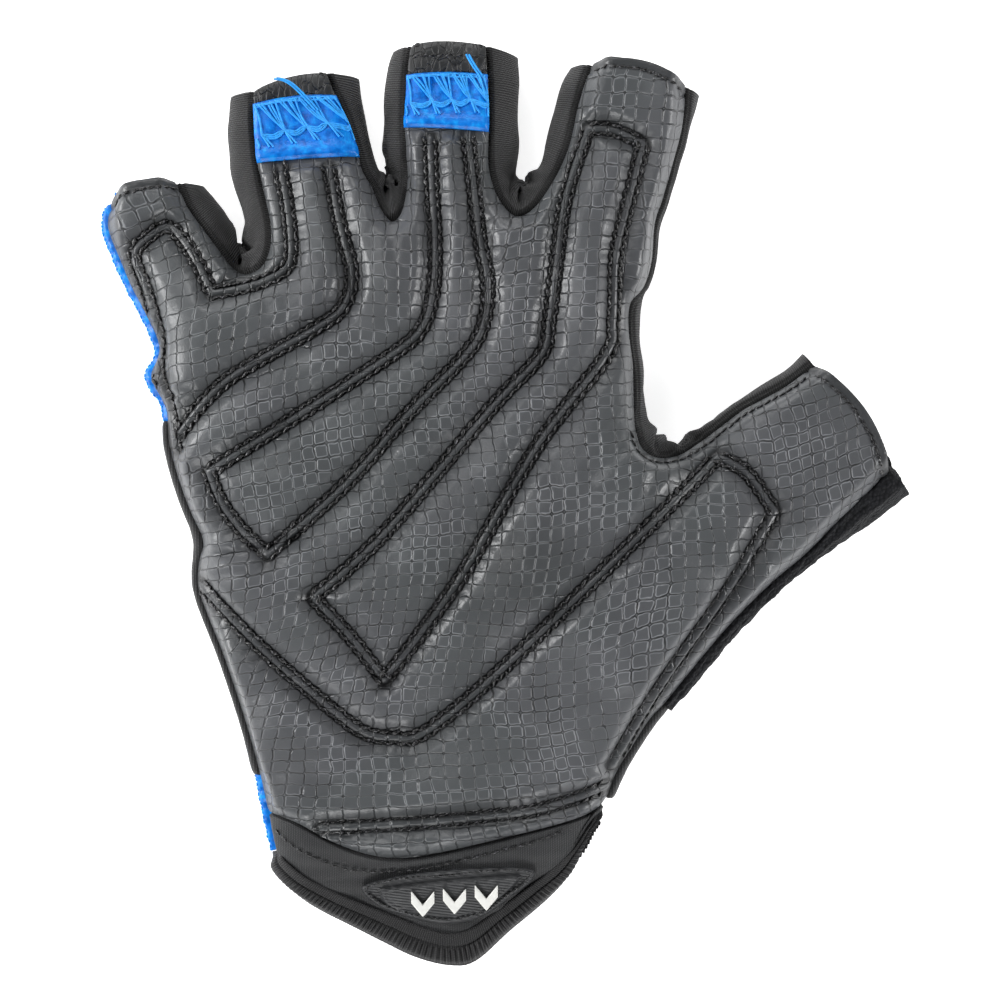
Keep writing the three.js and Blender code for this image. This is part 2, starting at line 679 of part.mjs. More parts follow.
function buildPalmPanel() {
  const wall = new Wall(LEATHER_WALL);
  const names = Object.keys(FINGER_SIDES);
  const fingers = names.map((name) => (
    fingerPoints(name, COLUMNS[name], (station) => inFromEdge(station))
  ));
  const top = fingers.flatMap((rows, k) => rows[rows.length - 1].slice(k === 0 ? 0 : 1));
  const left = palmLeft.map(inFromEdge);
  const root = thumbRoot(inFromEdge(indexSide.at(-1)), inFromEdge(wristSide[0]));
  const right = [
    ...indexSide.map(inFromEdge),
    ...root.slice(1, -1),
    ...wristSide.map(inFromEdge),
  ];
  const bottom = alongRows(LEATHER_HEM, sharesAlong(top));
  bottom[0] = left.at(-1);
  bottom[bottom.length - 1] = right.at(-1);
  fingers.forEach((rows, f) => {
    const start = f === 1 || f === 2 ? 1 : 0;
    const kept = rows.slice(start).map((row) => row.map((point) => point.clone()));
    if (start === 1) {
      const down = rows[2][3].clone().sub(rows[1][3]).normalize();
      kept[0].forEach((point) => point.addScaledVector(down, PIECE_GAP));
    }
    const edge = kept[0].length - 1;
    const flatRows = start === 1 ? TAB_ROWS.to - start : 0;
    wall.grid(leatherCells(kept, (i, j) => (
      i <= flatRows || j === 0 || j === edge || i === kept.length - 1
    )));
  });
  const palm = patchBetween(top, bottom, left, right);
  const lastColumn = top.length - 1;
  const lastRow = left.length - 1;
  wall.grid(leatherCells(palm, (i, j) => (
    i === 0 || i === lastRow || j === 0 || j === lastColumn
  )));
  const mouth = thumbMouth(inFromEdge(thumbUpper.at(-1)), inFromEdge(thumbLower.at(-1)));
  const thumb = patchBetween(root, mouth, thumbUpper.map(inFromEdge), thumbLower.map(inFromEdge));
  wall.grid(leatherCells(thumb, (i, j) => (
    i === 0 || i === THUMB_ROWS || j === 0 || j === root.length - 1
  )), true);
  addPiece('palm_panel', wall, COLOURS.leather, 0.5);
}

// A strip along the outline, from the edge of the leather over the outline to the seam beneath
const FRONT_SHARES = [1, 0.6, 0.25];
const UNDER_STEPS = [1, BACK_SEAM];
const stripRow = (station) => {
  const outward = station.edge.clone().sub(station.inner).normalize();
  const start = station.inner.clone().addScaledVector(outward, HALF_GAP);
  const front = FRONT_SHARES.map((share) => (
    { point: station.edge.clone().lerp(start, share), side: 'front' }
  ));
  const edge = { point: station.edge, side: 'edge', facing: outward };
  const under = UNDER_STEPS.map((step) => (
    { point: station.edge.clone().addScaledVector(outward, -step), side: 'back' }
  ));
  return [...front, edge, ...under];
};
const buildStrip = (name, stations, thickness, colour) => {
  const wall = new Wall(thickness);
  wall.grid(stations.map(stripRow));
  addPiece(name, wall, colour, 0.85);
};

function buildFingerStrips() {
  const between = [['little', 'ring'], ['ring', 'middle'], ['middle', 'index']];
  between.forEach(([one, other]) => {
    const stations = [...rightOf(one), ...reversed(leftOf(other)).slice(1)];
    buildStrip(`${one}_${other}_strip`, stations, KNIT_WALL, COLOURS.knit);
  });
}

function buildIndexThumbStrip() {
  const stations = [...rightOf('index'), ...indexSide.slice(1), ...thumbUpper.slice(1)];
  buildStrip('index_thumb_strip', stations, KNIT_WALL, COLOURS.knit);
}

// Blue piping: along the little finger down to the side of the palm, and beside the cuff
const TRIM_END = 8;              // rows of the palm's side that the upper piping reaches
const TRIM_AGAIN = 28;           // row where the wrist piping starts
const cuffLeft = stationsOf(SIDES.little, evenRows(
  SIDES.little,
  WRIST_ROW,
  SIDES.little.length - 1,
  CUFF_ROWS,
));
const cuffRight = stationsOf(SIDES.thumb, evenRows(
  SIDES.thumb,
  THUMB_WRIST_ROW,
  SIDES.thumb.length - 1,
  CUFF_ROWS,
));
const backedOff = (station, next) => {
  const share = PIECE_GAP / station.inner.distanceTo(next.inner);
  return {
    inner: station.inner.clone().lerp(next.inner, share),
    edge: station.edge.clone().lerp(next.edge, share),
  };
};

function buildTrims() {
  const upper = [...leftOf('little'), ...palmLeft.slice(1, TRIM_END + 1)];
  upper[upper.length - 1] = backedOff(upper.at(-1), upper.at(-2));
  buildStrip('little_side_trim', upper, TRIM_WALL, COLOURS.blue);
  const lower = [...palmLeft.slice(TRIM_AGAIN), ...cuffLeft.slice(1)];
  lower[0] = backedOff(lower[0], lower[1]);
  buildStrip('wrist_side_trim', lower, TRIM_WALL, COLOURS.blue);
}

// Rows that wrap a back piece round the outline up to the leather: from the seam's place under
// the glove, over the outline, to the edge of the leather
const wrapRow = (station) => {
  const outward = station.edge.clone().sub(station.inner).normalize();
  const start = station.inner.clone().addScaledVector(outward, HALF_GAP);
  return [
    { point: seamUnder(station, PIECE_GAP), side: 'back' },
    { point: station.edge.clone().addScaledVector(outward, -1), side: 'back' },
    { point: station.edge, side: 'edge', facing: outward },
    { point: station.edge.clone().lerp(start, 0.5), side: 'front' },
    { point: start, side: 'front' },
  ];
};
const underneath = (rows) => rows.map((row) => row.map((point) => ({ point, side: 'back' })));

function buildBackPanel() {
  const wall = new Wall(BACK_WALL);
  const under = (station) => seamUnder(station, PIECE_GAP);
  const fingers = Object.keys(FINGER_SIDES).map((name) => (
    fingerPoints(name, BACK_COLUMNS, under)
  ));
  fingers.forEach((rows) => wall.grid(underneath(rows)));
  const top = fingers.flatMap((rows, k) => rows[rows.length - 1].slice(k === 0 ? 0 : 1));
  const left = [...palmLeft, ...cuffLeft.slice(1)].map(under);
  const root = thumbRoot(under(indexSide.at(-1)), under(wristSide[0]));
  const right = [
    ...indexSide.map(under),
    ...root.slice(1, -1),
    ...wristSide.map(under),
    ...cuffRight.slice(1).map(under),
  ];
  const [from, to] = [left.at(-1), right.at(-1)];
  const bottom = sharesAlong(top).map((share) => from.clone().lerp(to, share));
  wall.grid(underneath(patchBetween(top, bottom, left, right)));
  wall.grid(palmLeft.slice(TRIM_END, TRIM_AGAIN + 1).map(wrapRow), true);
  wall.grid(wristSide.map(wrapRow));
  addPiece('back_panel', wall, COLOURS.back, 0.9);
}

function buildThumbBack() {
  const wall = new Wall(TERRY_WALL);
  const under = (station) => seamUnder(station, PIECE_GAP);
  const shifted = (points) => {
    const across = points.at(-1).clone().sub(points[0]).normalize();
    const outward = new THREE.Vector2(-across.y, across.x);
    return points.map((point) => point.clone().addScaledVector(outward, PIECE_GAP));
  };
  const root = shifted(thumbRoot(under(indexSide.at(-1)), under(wristSide[0])));
  const uppers = thumbUpper.map(under);
  const lowers = thumbLower.map(under);
  const lowerStations = [backedOff(thumbLower[0], thumbLower[1]), ...thumbLower.slice(1)];
  uppers[0] = root[0];
  lowers[0] = under(lowerStations[0]);
  root[root.length - 1] = lowers[0];
  const mouth = thumbMouth(uppers.at(-1), lowers.at(-1));
  wall.grid(underneath(patchBetween(root, mouth, uppers, lowers)));
  wall.grid(lowerStations.map(wrapRow));
  addPiece('thumb_back', wall, COLOURS.terry, 0.95);
}

// Black hems at the ends of the two middle fingers, and the blue tabs laid over the leather
function buildHemsAndTabs() {
  ['ring', 'middle'].forEach((name) => {
    const points = fingerPoints(name, COLUMNS[name], (station) => inFromEdge(station));
    const hem = new Wall(LEATHER_WALL);
    hem.grid(points.slice(0, 2).map((row) => row.map((point) => ({ point }))));
    addPiece(`${name}_hem`, hem, COLOURS.hem, 0.8);
    const tab = new Wall(TAB_WALL, PIECE_GAP + TAB_WALL);
    const tabRows = points.slice(TAB_ROWS.from, TAB_ROWS.to + 1);
    tab.grid(tabRows.map((row) => row.map((point) => ({ point }))));
    addPiece(`${name}_tab`, tab, COLOURS.blue, 0.45);
  });
}

// The cuff hangs from the leather's lower edge and ends in the bound edge
function buildCuff() {
  const shares = upTo(CUFF_COLUMNS);
  const wall = new Wall(CUFF_WALL);
  const down = (points, step) => points.map((point) => (
    new THREE.Vector2(point.x, point.y + step)
  ));
  const top = down(alongRows(LEATHER_HEM, shares), -PIECE_GAP);
  const bottom = alongRows(BINDING, shares);
  top[0] = inFromEdge(backedOff(cuffLeft[0], cuffLeft[1]));
  const left = cuffLeft.map(inFromEdge);
  const right = cuffRight.map(inFromEdge);
  left[0] = top[0];
  left[left.length - 1] = bottom[0];
  right[0] = top.at(-1);
  right[right.length - 1] = bottom.at(-1);
  wall.grid(patchBetween(top, bottom, left, right).map((row) => row.map((point) => ({ point }))));
  addPiece('cuff', wall, COLOURS.cuff, 0.85);

  const stations = stationsOf(BINDING, evenRows(BINDING, 0, BINDING.length - 1, CUFF_COLUMNS));
  const bound = new Wall(BINDING_WALL, (BINDING_WALL - CUFF_WALL) / 2);
  bound.grid(stations.map((station) => {
    const outward = station.edge.clone().sub(station.inner).normalize();
    const start = station.inner.clone().addScaledVector(outward, PIECE_GAP);
    return [0, 0.5, 1].map((share) => ({ point: start.clone().lerp(station.edge, share) }));
  }));
  addPiece('cuff_binding', bound, COLOURS.binding, 0.85);
}

// The badge and its marks lie on the cuff
const BADGE_LIFT = 0.5;
const BADGE_RINGS = [1, 0.82, 0.5, 0.15];
function buildBadge() {
  const outline = BADGE.map((row) => place(row.x, row.y));
  const centre = outline.reduce((sum, point) => sum.add(point), new THREE.Vector2())
    .multiplyScalar(1 / outline.length);
  const wall = new Wall(BADGE_WALL, BADGE_LIFT + BADGE_WALL);
  const rings = BADGE_RINGS.map((share) => (
    [...outline, outline[0]].map((point) => ({ point: centre.clone().lerp(point, share) }))
  ));
  wall.grid(rings);
  wall.closeRow(rings.at(-1), { point: centre });
  addPiece('badge', wall, COLOURS.badge, 0.6);

  MARKS.forEach((row, number) => {
    const mark = new Wall(MARK_RISE, BADGE_LIFT + BADGE_WALL + 0.35 + MARK_RISE);
    const { width, height, arm } = MARK_SIZE;
    const at = place(row.x, row.y);
    const columns = [[-1, 1], [0, 0], [1, 1]].map(([x, y]) => (
      [0, arm].map((up) => ({
        point: new THREE.Vector2(at.x + x * width / 2, at.y + y * (height - arm) - height / 2 + up),
      }))
    ));
    mark.grid(columns);
    addPiece(`badge_mark_${number + 1}`, mark, COLOURS.mark, 0.6);
  });
}

buildPalmPanel();
buildFingerStrips();
buildIndexThumbStrip();
buildBackPanel();
buildThumbBack();
buildTrims();
buildHemsAndTabs();
buildCuff();
buildBadge();

export default group;
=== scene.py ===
import math

import bmesh
import bpy
import numpy as np
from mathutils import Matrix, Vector, noise


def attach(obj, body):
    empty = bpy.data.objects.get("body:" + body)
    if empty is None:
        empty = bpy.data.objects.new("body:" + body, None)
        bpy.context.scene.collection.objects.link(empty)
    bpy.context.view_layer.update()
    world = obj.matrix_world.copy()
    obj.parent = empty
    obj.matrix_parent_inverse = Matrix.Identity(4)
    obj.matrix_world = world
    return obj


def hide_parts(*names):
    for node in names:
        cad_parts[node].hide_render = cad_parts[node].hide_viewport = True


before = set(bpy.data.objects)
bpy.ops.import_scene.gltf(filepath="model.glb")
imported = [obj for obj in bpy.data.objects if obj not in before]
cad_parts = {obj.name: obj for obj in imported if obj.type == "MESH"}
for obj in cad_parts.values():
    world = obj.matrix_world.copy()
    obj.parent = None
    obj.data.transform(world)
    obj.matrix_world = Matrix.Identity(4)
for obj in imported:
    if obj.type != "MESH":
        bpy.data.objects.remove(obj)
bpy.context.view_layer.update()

# Stage. The glove lies palm up on a plain pale table in an even white light tent: soft boxes
# stand low all round it, and the tent is darker overhead, where the camera looks in.
scene = bpy.context.scene
scene.view_settings.view_transform = "Standard"
scene.view_settings.look = "None"
CAMERA_AT = (-0.00036, 0.00107, 0.679)
camera_data = bpy.data.cameras.new("camera")
camera_data.lens = 120
camera_data.sensor_width = 36
camera = bpy.data.objects.new("camera", camera_data)
camera.location = CAMERA_AT
scene.collection.objects.link(camera)
scene.camera = camera

world = bpy.data.worlds.new("light_tent")
world.use_nodes = True
tent = world.node_tree
tent.nodes.clear()
tent_place = tent.nodes.new("ShaderNodeTexCoord")
tent_split = tent.nodes.new("ShaderNodeSeparateXYZ")
tent_ramp = tent.nodes.new("ShaderNodeValToRGB")
tent_light = tent.nodes.new("ShaderNodeBackground")
tent_out = tent.nodes.new("ShaderNodeOutputWorld")
tent_ramp.color_ramp.elements[0].position = 0.1
tent_ramp.color_ramp.elements[0].color = (1.0, 1.0, 1.0, 1.0)
tent_ramp.color_ramp.elements[1].position = 0.75
tent_ramp.color_ramp.elements[1].color = (0.07, 0.074, 0.078, 1.0)
tent_light.inputs["Strength"].default_value = 0.42
tent.links.new(tent_place.outputs["Generated"], tent_split.inputs["Vector"])
tent.links.new(tent_split.outputs["Z"], tent_ramp.inputs["Fac"])
tent.links.new(tent_ramp.outputs["Color"], tent_light.inputs["Color"])
tent.links.new(tent_light.outputs["Background"], tent_out.inputs["Surface"])
scene.world = world

# name, place in metres, width in metres, watts
SOFT_BOXES = [
    ("softbox_left", (-0.80, 0.16, 0.34), 0.36, 7.2),
    ("softbox_right", (0.85, -0.05, 0.36), 0.36, 6.0),
    ("softbox_far", (-0.10, 0.85, 0.42), 0.45, 3.3),
    ("softbox_near", (-0.15, -0.85, 0.40), 0.45, 5.2),
    ("softbox_top", (-0.45, 0.35, 0.90), 0.30, 1.3),
]
for box_name, box_at, box_width, watts in SOFT_BOXES:
    box_data = bpy.data.lights.new(box_name, "AREA")
    box_data.shape = "SQUARE"
    box_data.size = box_width
    box_data.energy = watts
    box_lamp = bpy.data.objects.new(box_name, box_data)
    box_lamp.location = box_at
    box_lamp.rotation_euler = Vector(box_at).to_track_quat("Z", "Y").to_euler()
    scene.collection.objects.link(box_lamp)

table_mesh = bpy.data.meshes.new("table")
table_form = bmesh.new()
bmesh.ops.create_grid(table_form, x_segments=1, y_segments=1, size=2.5)
table_form.to_mesh(table_mesh)
table_form.free()
table = bpy.data.objects.new("table", table_mesh)
scene.collection.objects.link(table)
table_paint = bpy.data.materials.new("table_paint")
table_paint.use_nodes = True
table_shader = table_paint.node_tree.nodes["Principled BSDF"]
table_shader.inputs["Base Color"].default_value = (0.93, 0.93, 0.93, 1.0)
table_shader.inputs["Roughness"].default_value = 0.9
table_shader.inputs["Specular IOR Level"].default_value = 0.1
table_shader.inputs["Emission Color"].default_value = (1.0, 1.0, 1.0, 1.0)
table_shader.inputs["Emission Strength"].default_value = 0.8
table_mesh.materials.append(table_paint)

# Palm. One piece of grey leather embossed in small rounded scales, cut with the fronts of the
# four fingers and the thumb. Foam beneath it is quilted into pads by double rows of stitches.
MM = 0.001
GLOVE_WIDTH = 162.4
GLOVE_LENGTH = 185.8
MIDDLE = (50.1, 49.8)
PALM_HEIGHT = 21.0
SEAM_LEVEL = 0.42
# x y of the leather's edge and of the glove's outermost edge, in percent of width and length
SIDES = {
    "little": [
        (1.8, 82.7, 0.5, 81.5), (1.4, 79.7, 0.3, 79.5), (3.0, 76.1, 1.8, 76.0),
        (4.4, 73.2, 3.4, 73.2), (6.2, 70.3, 5.2, 70.1), (7.9, 66.7, 7.0, 66.4),
        (6.9, 63.6, 5.8, 63.4), (8.7, 60.0, 7.9, 60.4), (9.0, 56.6, 8.4, 56.6),
        (10.2, 52.7, 9.5, 52.6), (11.7, 49.1, 10.9, 49.1), (13.3, 46.0, 12.2, 46.3),
        (12.8, 43.9, 12.0, 43.7), (12.6, 41.1, 12.0, 41.0), (13.9, 37.7, 13.3, 37.6),
        (15.6, 33.9, 15.0, 33.9), (17.6, 28.7, 17.0, 28.7), (19.1, 24.3, 18.5, 24.3),
        (20.3, 20.5, 19.4, 20.4), (21.2, 17.0, 20.2, 16.8), (22.4, 12.7, 21.2, 12.4),
    ],
    "little_ring": [
        (10.1, 84.6, 13.1, 84.4), (11.5, 81.9, 14.0, 83.4), (13.3, 79.7, 15.4, 81.8),
        (15.3, 77.4, 16.6, 80.1), (16.9, 75.6, 17.4, 78.4), (18.6, 74.6, 18.1, 76.6),
        (20.6, 75.3, 18.4, 78.1), (21.7, 77.3, 18.3, 79.9), (21.7, 80.0, 17.7, 82.2),
        (20.8, 83.5, 16.8, 84.4), (20.1, 86.7, 16.3, 87.2), (19.6, 90.7, 16.1, 90.7),
        (19.5, 94.4, 16.5, 94.0),
    ],
    "ring_middle": [
        (28.6, 96.3, 32.3, 96.0), (29.6, 94.0, 32.8, 93.1), (31.0, 91.3, 33.5, 90.5),
        (32.1, 88.4, 34.2, 88.2), (33.0, 85.9, 34.9, 86.5), (34.4, 83.7, 35.5, 85.7),
        (35.3, 81.6, 36.0, 85.1), (36.7, 80.1, 36.3, 84.6), (37.9, 81.3, 36.5, 85.5),
        (38.4, 84.5, 35.8, 86.4), (38.3, 87.6, 35.2, 88.1), (38.2, 90.7, 35.4, 91.1),
        (38.3, 93.9, 35.5, 94.1), (38.5, 96.9, 35.9, 97.1), (38.9, 99.4, 36.6, 98.9),
    ],
    "middle_index": [
        (48.2, 99.2, 52.2, 98.3), (48.4, 95.9, 52.3, 95.6), (48.5, 92.6, 52.1, 92.1),
        (48.5, 89.1, 52.2, 88.9), (48.6, 85.9, 52.0, 86.8), (49.5, 83.2, 51.7, 85.5),
        (50.7, 81.5, 52.0, 84.7), (52.1, 80.7, 52.5, 84.0), (53.8, 81.5, 53.1, 84.8),
        (55.5, 83.4, 53.9, 85.9), (57.0, 85.7, 54.9, 87.0), (58.4, 88.7, 55.7, 89.7),
        (59.4, 92.7, 56.8, 93.2), (60.5, 95.8, 57.6, 95.8), (61.2, 97.4, 58.6, 97.2),
    ],
    "index_thumb": [
        (72.9, 94.9, 74.6, 94.2), (72.5, 90.6, 73.4, 90.2), (71.4, 86.8, 72.3, 86.7),
        (70.1, 82.8, 70.9, 83.0), (69.1, 80.1, 69.8, 80.1), (68.7, 76.0, 69.3, 76.0),
        (67.7, 73.2, 68.4, 73.6), (66.0, 71.4, 67.6, 72.1), (65.8, 68.6, 67.2, 68.7),
        (66.3, 64.9, 67.7, 64.9), (66.4, 61.7, 67.6, 61.7), (66.5, 58.5, 68.2, 59.0),
        (67.2, 56.1, 69.5, 57.6), (69.1, 55.0, 70.4, 56.5), (71.8, 55.3, 71.9, 56.5),
        (74.4, 56.7, 74.0, 57.9), (77.2, 58.5, 76.5, 59.3), (79.8, 60.2, 79.1, 61.0),
        (82.4, 61.4, 82.0, 62.6), (85.2, 62.8, 84.8, 64.2), (88.4, 64.9, 87.4, 66.2),
    ],
    "thumb": [
        (97.6, 53.1, 100.0, 51.1), (96.8, 52.5, 98.3, 50.4), (95.3, 51.3, 96.3, 48.8),
        (93.6, 49.9, 94.0, 47.4), (91.5, 48.1, 91.3, 45.9), (89.3, 46.0, 89.2, 44.6),
        (86.8, 43.9, 87.3, 43.2), (83.4, 41.4, 83.9, 40.9), (78.3, 37.0, 78.9, 36.5),
        (73.3, 31.8, 73.9, 31.3), (70.3, 28.5, 70.9, 28.1), (68.5, 26.8, 69.1, 26.4),
        (66.3, 23.8, 66.9, 23.5), (64.4, 21.1, 65.1, 20.8), (63.2, 18.4, 63.9, 18.1),
        (62.3, 16.6, 63.3, 16.4),
    ],
}
KNUCKLE_ROW = 3
WRIST_ROW = 19
THUMB_WRIST_ROW = 14
INDEX_ROOT_ROW = 4
# share of PALM_HEIGHT at y
HEIGHTS = [(0, 9 / 21), (17, 17 / 21), (45, 1.0), (70, 0.97), (100, 0.9)]
# x, y, rise, radius
MOUNDS = [(27, 33, 0.06, 13), (66, 42, 0.10, 15), (46, 30, -0.07, 12), (30, 60, 0.03, 12)]
# x, y of each open end, bow of its rim, height there and reach of its slope in millimetres
DIGITS = {
    "little": (6.0, 83.8, 2.0, 13, 34),
    "ring": (24.0, 95.6, 1.0, 13, 44),
    "middle": (43.6, 99.6, 0.8, 13, 46),
    "index": (67.1, 96.2, 2.6, 13, 46),
    "thumb": (93.2, 59.6, 3.2, 15, 48),
}
# Middle lines of the double rows of stitches
CHANNELS = [
    [(10.2, 55.9), (9.5, 59.8), (8.0, 64.4), (8.0, 68.1), (6.5, 72.8), (5.0, 76.6), (7.0, 78.8),
     (9.0, 79.7), (10.6, 78.7), (12.7, 76.0), (14.8, 72.4)],
    [(14.8, 72.4), (19.3, 73.2), (23.2, 74.6), (24.4, 76.4), (24.0, 81.1), (22.8, 86.7)],
    [(28.9, 86.0), (30.3, 79.9), (31.8, 74.7), (31.0, 71.2), (28.0, 68.9), (18.2, 64.0),
     (14.2, 61.1), (10.6, 57.3)],
    [(41.3, 89.1), (41.6, 83.5), (42.0, 77.3), (41.7, 72.4), (40.5, 68.9), (37.2, 66.1),
     (24.0, 58.6), (14.4, 53.4)],
    [(14.4, 53.4), (16.0, 50.1), (18.6, 47.1), (21.7, 44.6)],
    [(21.7, 44.6), (31.2, 52.1), (38.4, 59.2), (45.6, 65.7), (47.9, 69.1), (48.4, 73.6),
     (47.4, 78.4), (45.9, 89.7)],
    [(27.2, 40.0), (35.7, 46.7), (49.0, 60.3), (54.9, 65.8), (55.9, 69.5), (56.7, 75.1),
     (58.0, 82.9), (60.7, 90.2)],
    [(60.7, 90.2), (63.7, 90.1), (67.5, 88.6)],
    [(67.5, 88.6), (65.3, 81.3), (64.0, 76.2), (63.7, 69.5), (62.8, 65.8), (54.4, 56.1),
     (46.2, 43.7), (41.4, 37.6), (35.8, 31.2)],
    [(35.8, 31.2), (31.6, 35.9), (27.2, 40.0)],
    [(13.1, 41.4), (20.3, 35.1), (29.6, 27.9), (33.5, 25.5), (36.9, 25.0), (40.6, 25.5),
     (49.1, 31.5), (59.7, 40.5), (71.7, 50.8), (76.5, 55.0)],
    [(76.5, 55.0), (79.9, 53.3), (82.8, 49.9), (83.4, 49.1)],
    [(83.4, 49.1), (78.1, 41.4), (70.8, 32.2), (67.0, 26.9), (63.7, 21.9)],
    [(28.0, 15.3), (38.8, 15.8), (47.7, 16.5), (55.2, 17.4), (63.4, 19.8)],
]
LEATHER_HEM = [
    (21.2, 17.0), (25.2, 15.8), (28.9, 14.0), (33.3, 12.5), (37.6, 12.0), (42.5, 12.6),
    (50.7, 14.3), (57.3, 15.8), (61.2, 17.0), (63.2, 18.4),
]


def place(table_rows):
    """Percent of the drawing to millimetres in the frame."""
    shares = (np.asarray(table_rows, float)[..., :2] - MIDDLE) / 100
    return shares * (GLOVE_WIDTH, GLOVE_LENGTH)


def blend_rows(table_rows, at):
    """A smooth curve through the rows of a table, read at any row numbers in between."""
    rows = np.asarray(table_rows, float)
    at = np.atleast_1d(np.asarray(at, float))
    k = np.clip(np.floor(at).astype(int), 0, len(rows) - 2)
    t = (at - k)[:, None]
    a, b, c, d = (rows[np.clip(k + step, 0, len(rows) - 1)] for step in (-1, 0, 1, 2))
    return b + 0.5 * t * (c - a + t * (2 * a - 5 * b + 4 * c - d + t * (3 * (b - c) + d - a)))


def drawn_line(table_rows, count):
    """The smooth curve through all rows of a table as a line of points in millimetres."""
    return place(blend_rows(table_rows, np.linspace(0, len(table_rows) - 1, count)))


def run_along(points):
    """Distance run at each point of a line."""
    steps = np.linalg.norm(np.diff(points, axis=0), axis=1)
    return np.concatenate([[0.0], np.cumsum(steps)])


def even_rows(table_rows, first, last, shares):
    """Row numbers at given shares of the way along the first edge of a table."""
    fine = np.linspace(first, last, 12 * math.ceil(abs(last - first)) + 1)
    run = run_along(place(blend_rows(table_rows, fine)))
    return np.interp(np.asarray(shares) * run[-1], run, fine)


def stations(table_rows, at):
    """The leather's edge and the glove's outermost edge at row numbers."""
    rows = blend_rows(table_rows, at)
    return place(rows[:, :2]), place(rows[:, 2:4])


def smooth_step(value):
    t = np.clip(value, 0, 1)
    return t * t * (3 - 2 * t)


def bell(value, middle, half_width):
    """1 at a middle, falling off smoothly to both sides."""
    return np.exp(-((value - middle) / half_width) ** 2)


def unit(ways):
    """Directions made one long."""
    return ways / np.linalg.norm(ways, axis=-1, keepdims=True)


def segments_of(lines):
    """Starts, ends and distance run of all straight pieces of some lines."""
    starts = np.concatenate([line[:-1] for line in lines])
    ends = np.concatenate([line[1:] for line in lines])
    run = np.concatenate([run_along(line)[:-1] for line in lines])
    return starts, ends, run


def nearest(points, segments):
    """Distance, nearest place and distance run there for each point."""
    starts, ends, run = segments
    step = ends - starts
    length = np.maximum((step ** 2).sum(1), 1e-12)
    found = []
    for first in range(0, len(points), 1000):
        part = points[first:first + 1000]
        away_x = part[:, 0, None] - starts[:, 0]
        away_y = part[:, 1, None] - starts[:, 1]
        t = np.clip((away_x * step[:, 0] + away_y * step[:, 1]) / length, 0, 1)
        gap = (away_x - t * step[:, 0]) ** 2 + (away_y - t * step[:, 1]) ** 2
        k = gap.argmin(1)
        row = np.arange(len(k))
        share = t[row, k]
        foot = starts[k] + share[:, None] * step[k]
        at = run[k] + share * np.sqrt(length[k])
        found.append(np.column_stack([np.sqrt(gap[row, k]), foot, at]))
    columns = np.concatenate(found)
    return {"gap": columns[:, 0], "foot": columns[:, 1:3], "run": columns[:, 3]}


def closed(line):
    """A line that ends where it starts."""
    return np.vstack([line, line[:1]])


def drawn_on(line, length=30.0):
    """A line drawn on past both ends."""
    first = line[0] + unit(line[0] - line[1]) * length
    last = line[-1] + unit(line[-1] - line[-2]) * length
    return np.vstack([first, line, last])


glove_lines = []
leather_lines = []
for side_rows in SIDES.values():
    side_at = np.linspace(0, len(side_rows) - 1, (len(side_rows) - 1) * 5 + 1)
    leather_line, glove_line = stations(side_rows, side_at)
    glove_lines.append(drawn_on(glove_line))
    leather_lines.append(drawn_on(leather_line))
GLOVE_OUTLINE = segments_of(glove_lines)
LEATHER_SIDES = segments_of(leather_lines)


def full_height(points):
    """Height of the glove over a place, before its sides round off."""
    x = points[:, 0] / GLOVE_WIDTH * 100 + MIDDLE[0]
    y = points[:, 1] / GLOVE_LENGTH * 100 + MIDDLE[1]
    levels = np.array(HEIGHTS)
    k = np.clip(np.searchsorted(levels[:, 0], y, side="right"), 1, len(levels) - 1)
    low, high = levels[k - 1], levels[k]
    t = smooth_step((y - low[:, 0]) / (high[:, 0] - low[:, 0]))
    share = low[:, 1] + (high[:, 1] - low[:, 1]) * t
    for mound_x, mound_y, rise, radius in MOUNDS:
        share += rise * np.exp(-((x - mound_x) ** 2 + (y - mound_y) ** 2) / radius ** 2)
    height = PALM_HEIGHT * share
    for digit_x, digit_y, _, low_height, reach in DIGITS.values():
        end = place([(digit_x, digit_y)])[0]
        far = np.linalg.norm(points - end, axis=1) / reach
        sloped = low_height + (PALM_HEIGHT * share - low_height) * smooth_step(far)
        height = np.minimum(height, sloped)
    return height


def skin(points, under=False, outward=None):
    """Places and facings on the glove's skin, over or under places in its outline."""
    height = full_height(points)
    seam = SEAM_LEVEL * height
    radius = seam if under else height - seam
    near = nearest(points, GLOVE_OUTLINE)
    out = near["foot"] - points
    length = np.linalg.norm(out, axis=1)
    if outward is not None:
        out = np.where((length < 0.05)[:, None], outward, out)
        length = np.linalg.norm(out, axis=1)
    out = out / np.maximum(length, 1e-9)[:, None]
    sideways = np.clip(1 - near["gap"] / radius, 0, 1)
    rise = np.sqrt(1 - sideways ** 2) * (-1 if under else 1)
    at = np.column_stack([points, seam + rise * radius])
    return at, np.column_stack([out * sideways[:, None], rise])


def finger_ends(name, left, right, share_left, share_right, across, bow_share=1.0):
    """A line of points across a finger, bowed outwards as its open end is."""
    left_rows, left_first, left_last = left
    right_rows, right_first, right_last = right
    lefts = even_rows(left_rows, left_first, left_last, [share_left, 1.0])
    rights = even_rows(right_rows, right_first, right_last, [share_right, 1.0])
    a, b = stations(left_rows, lefts)[0], stations(right_rows, rights)[0]
    outward = unit((a[0] + b[0]) - (a[1] + b[1]))
    across = np.asarray(across)[:, None]
    bow = DIGITS[name][2] * bow_share * 4 * across * (1 - across)
    return a[0] * (1 - across) + b[0] * across + outward * bow


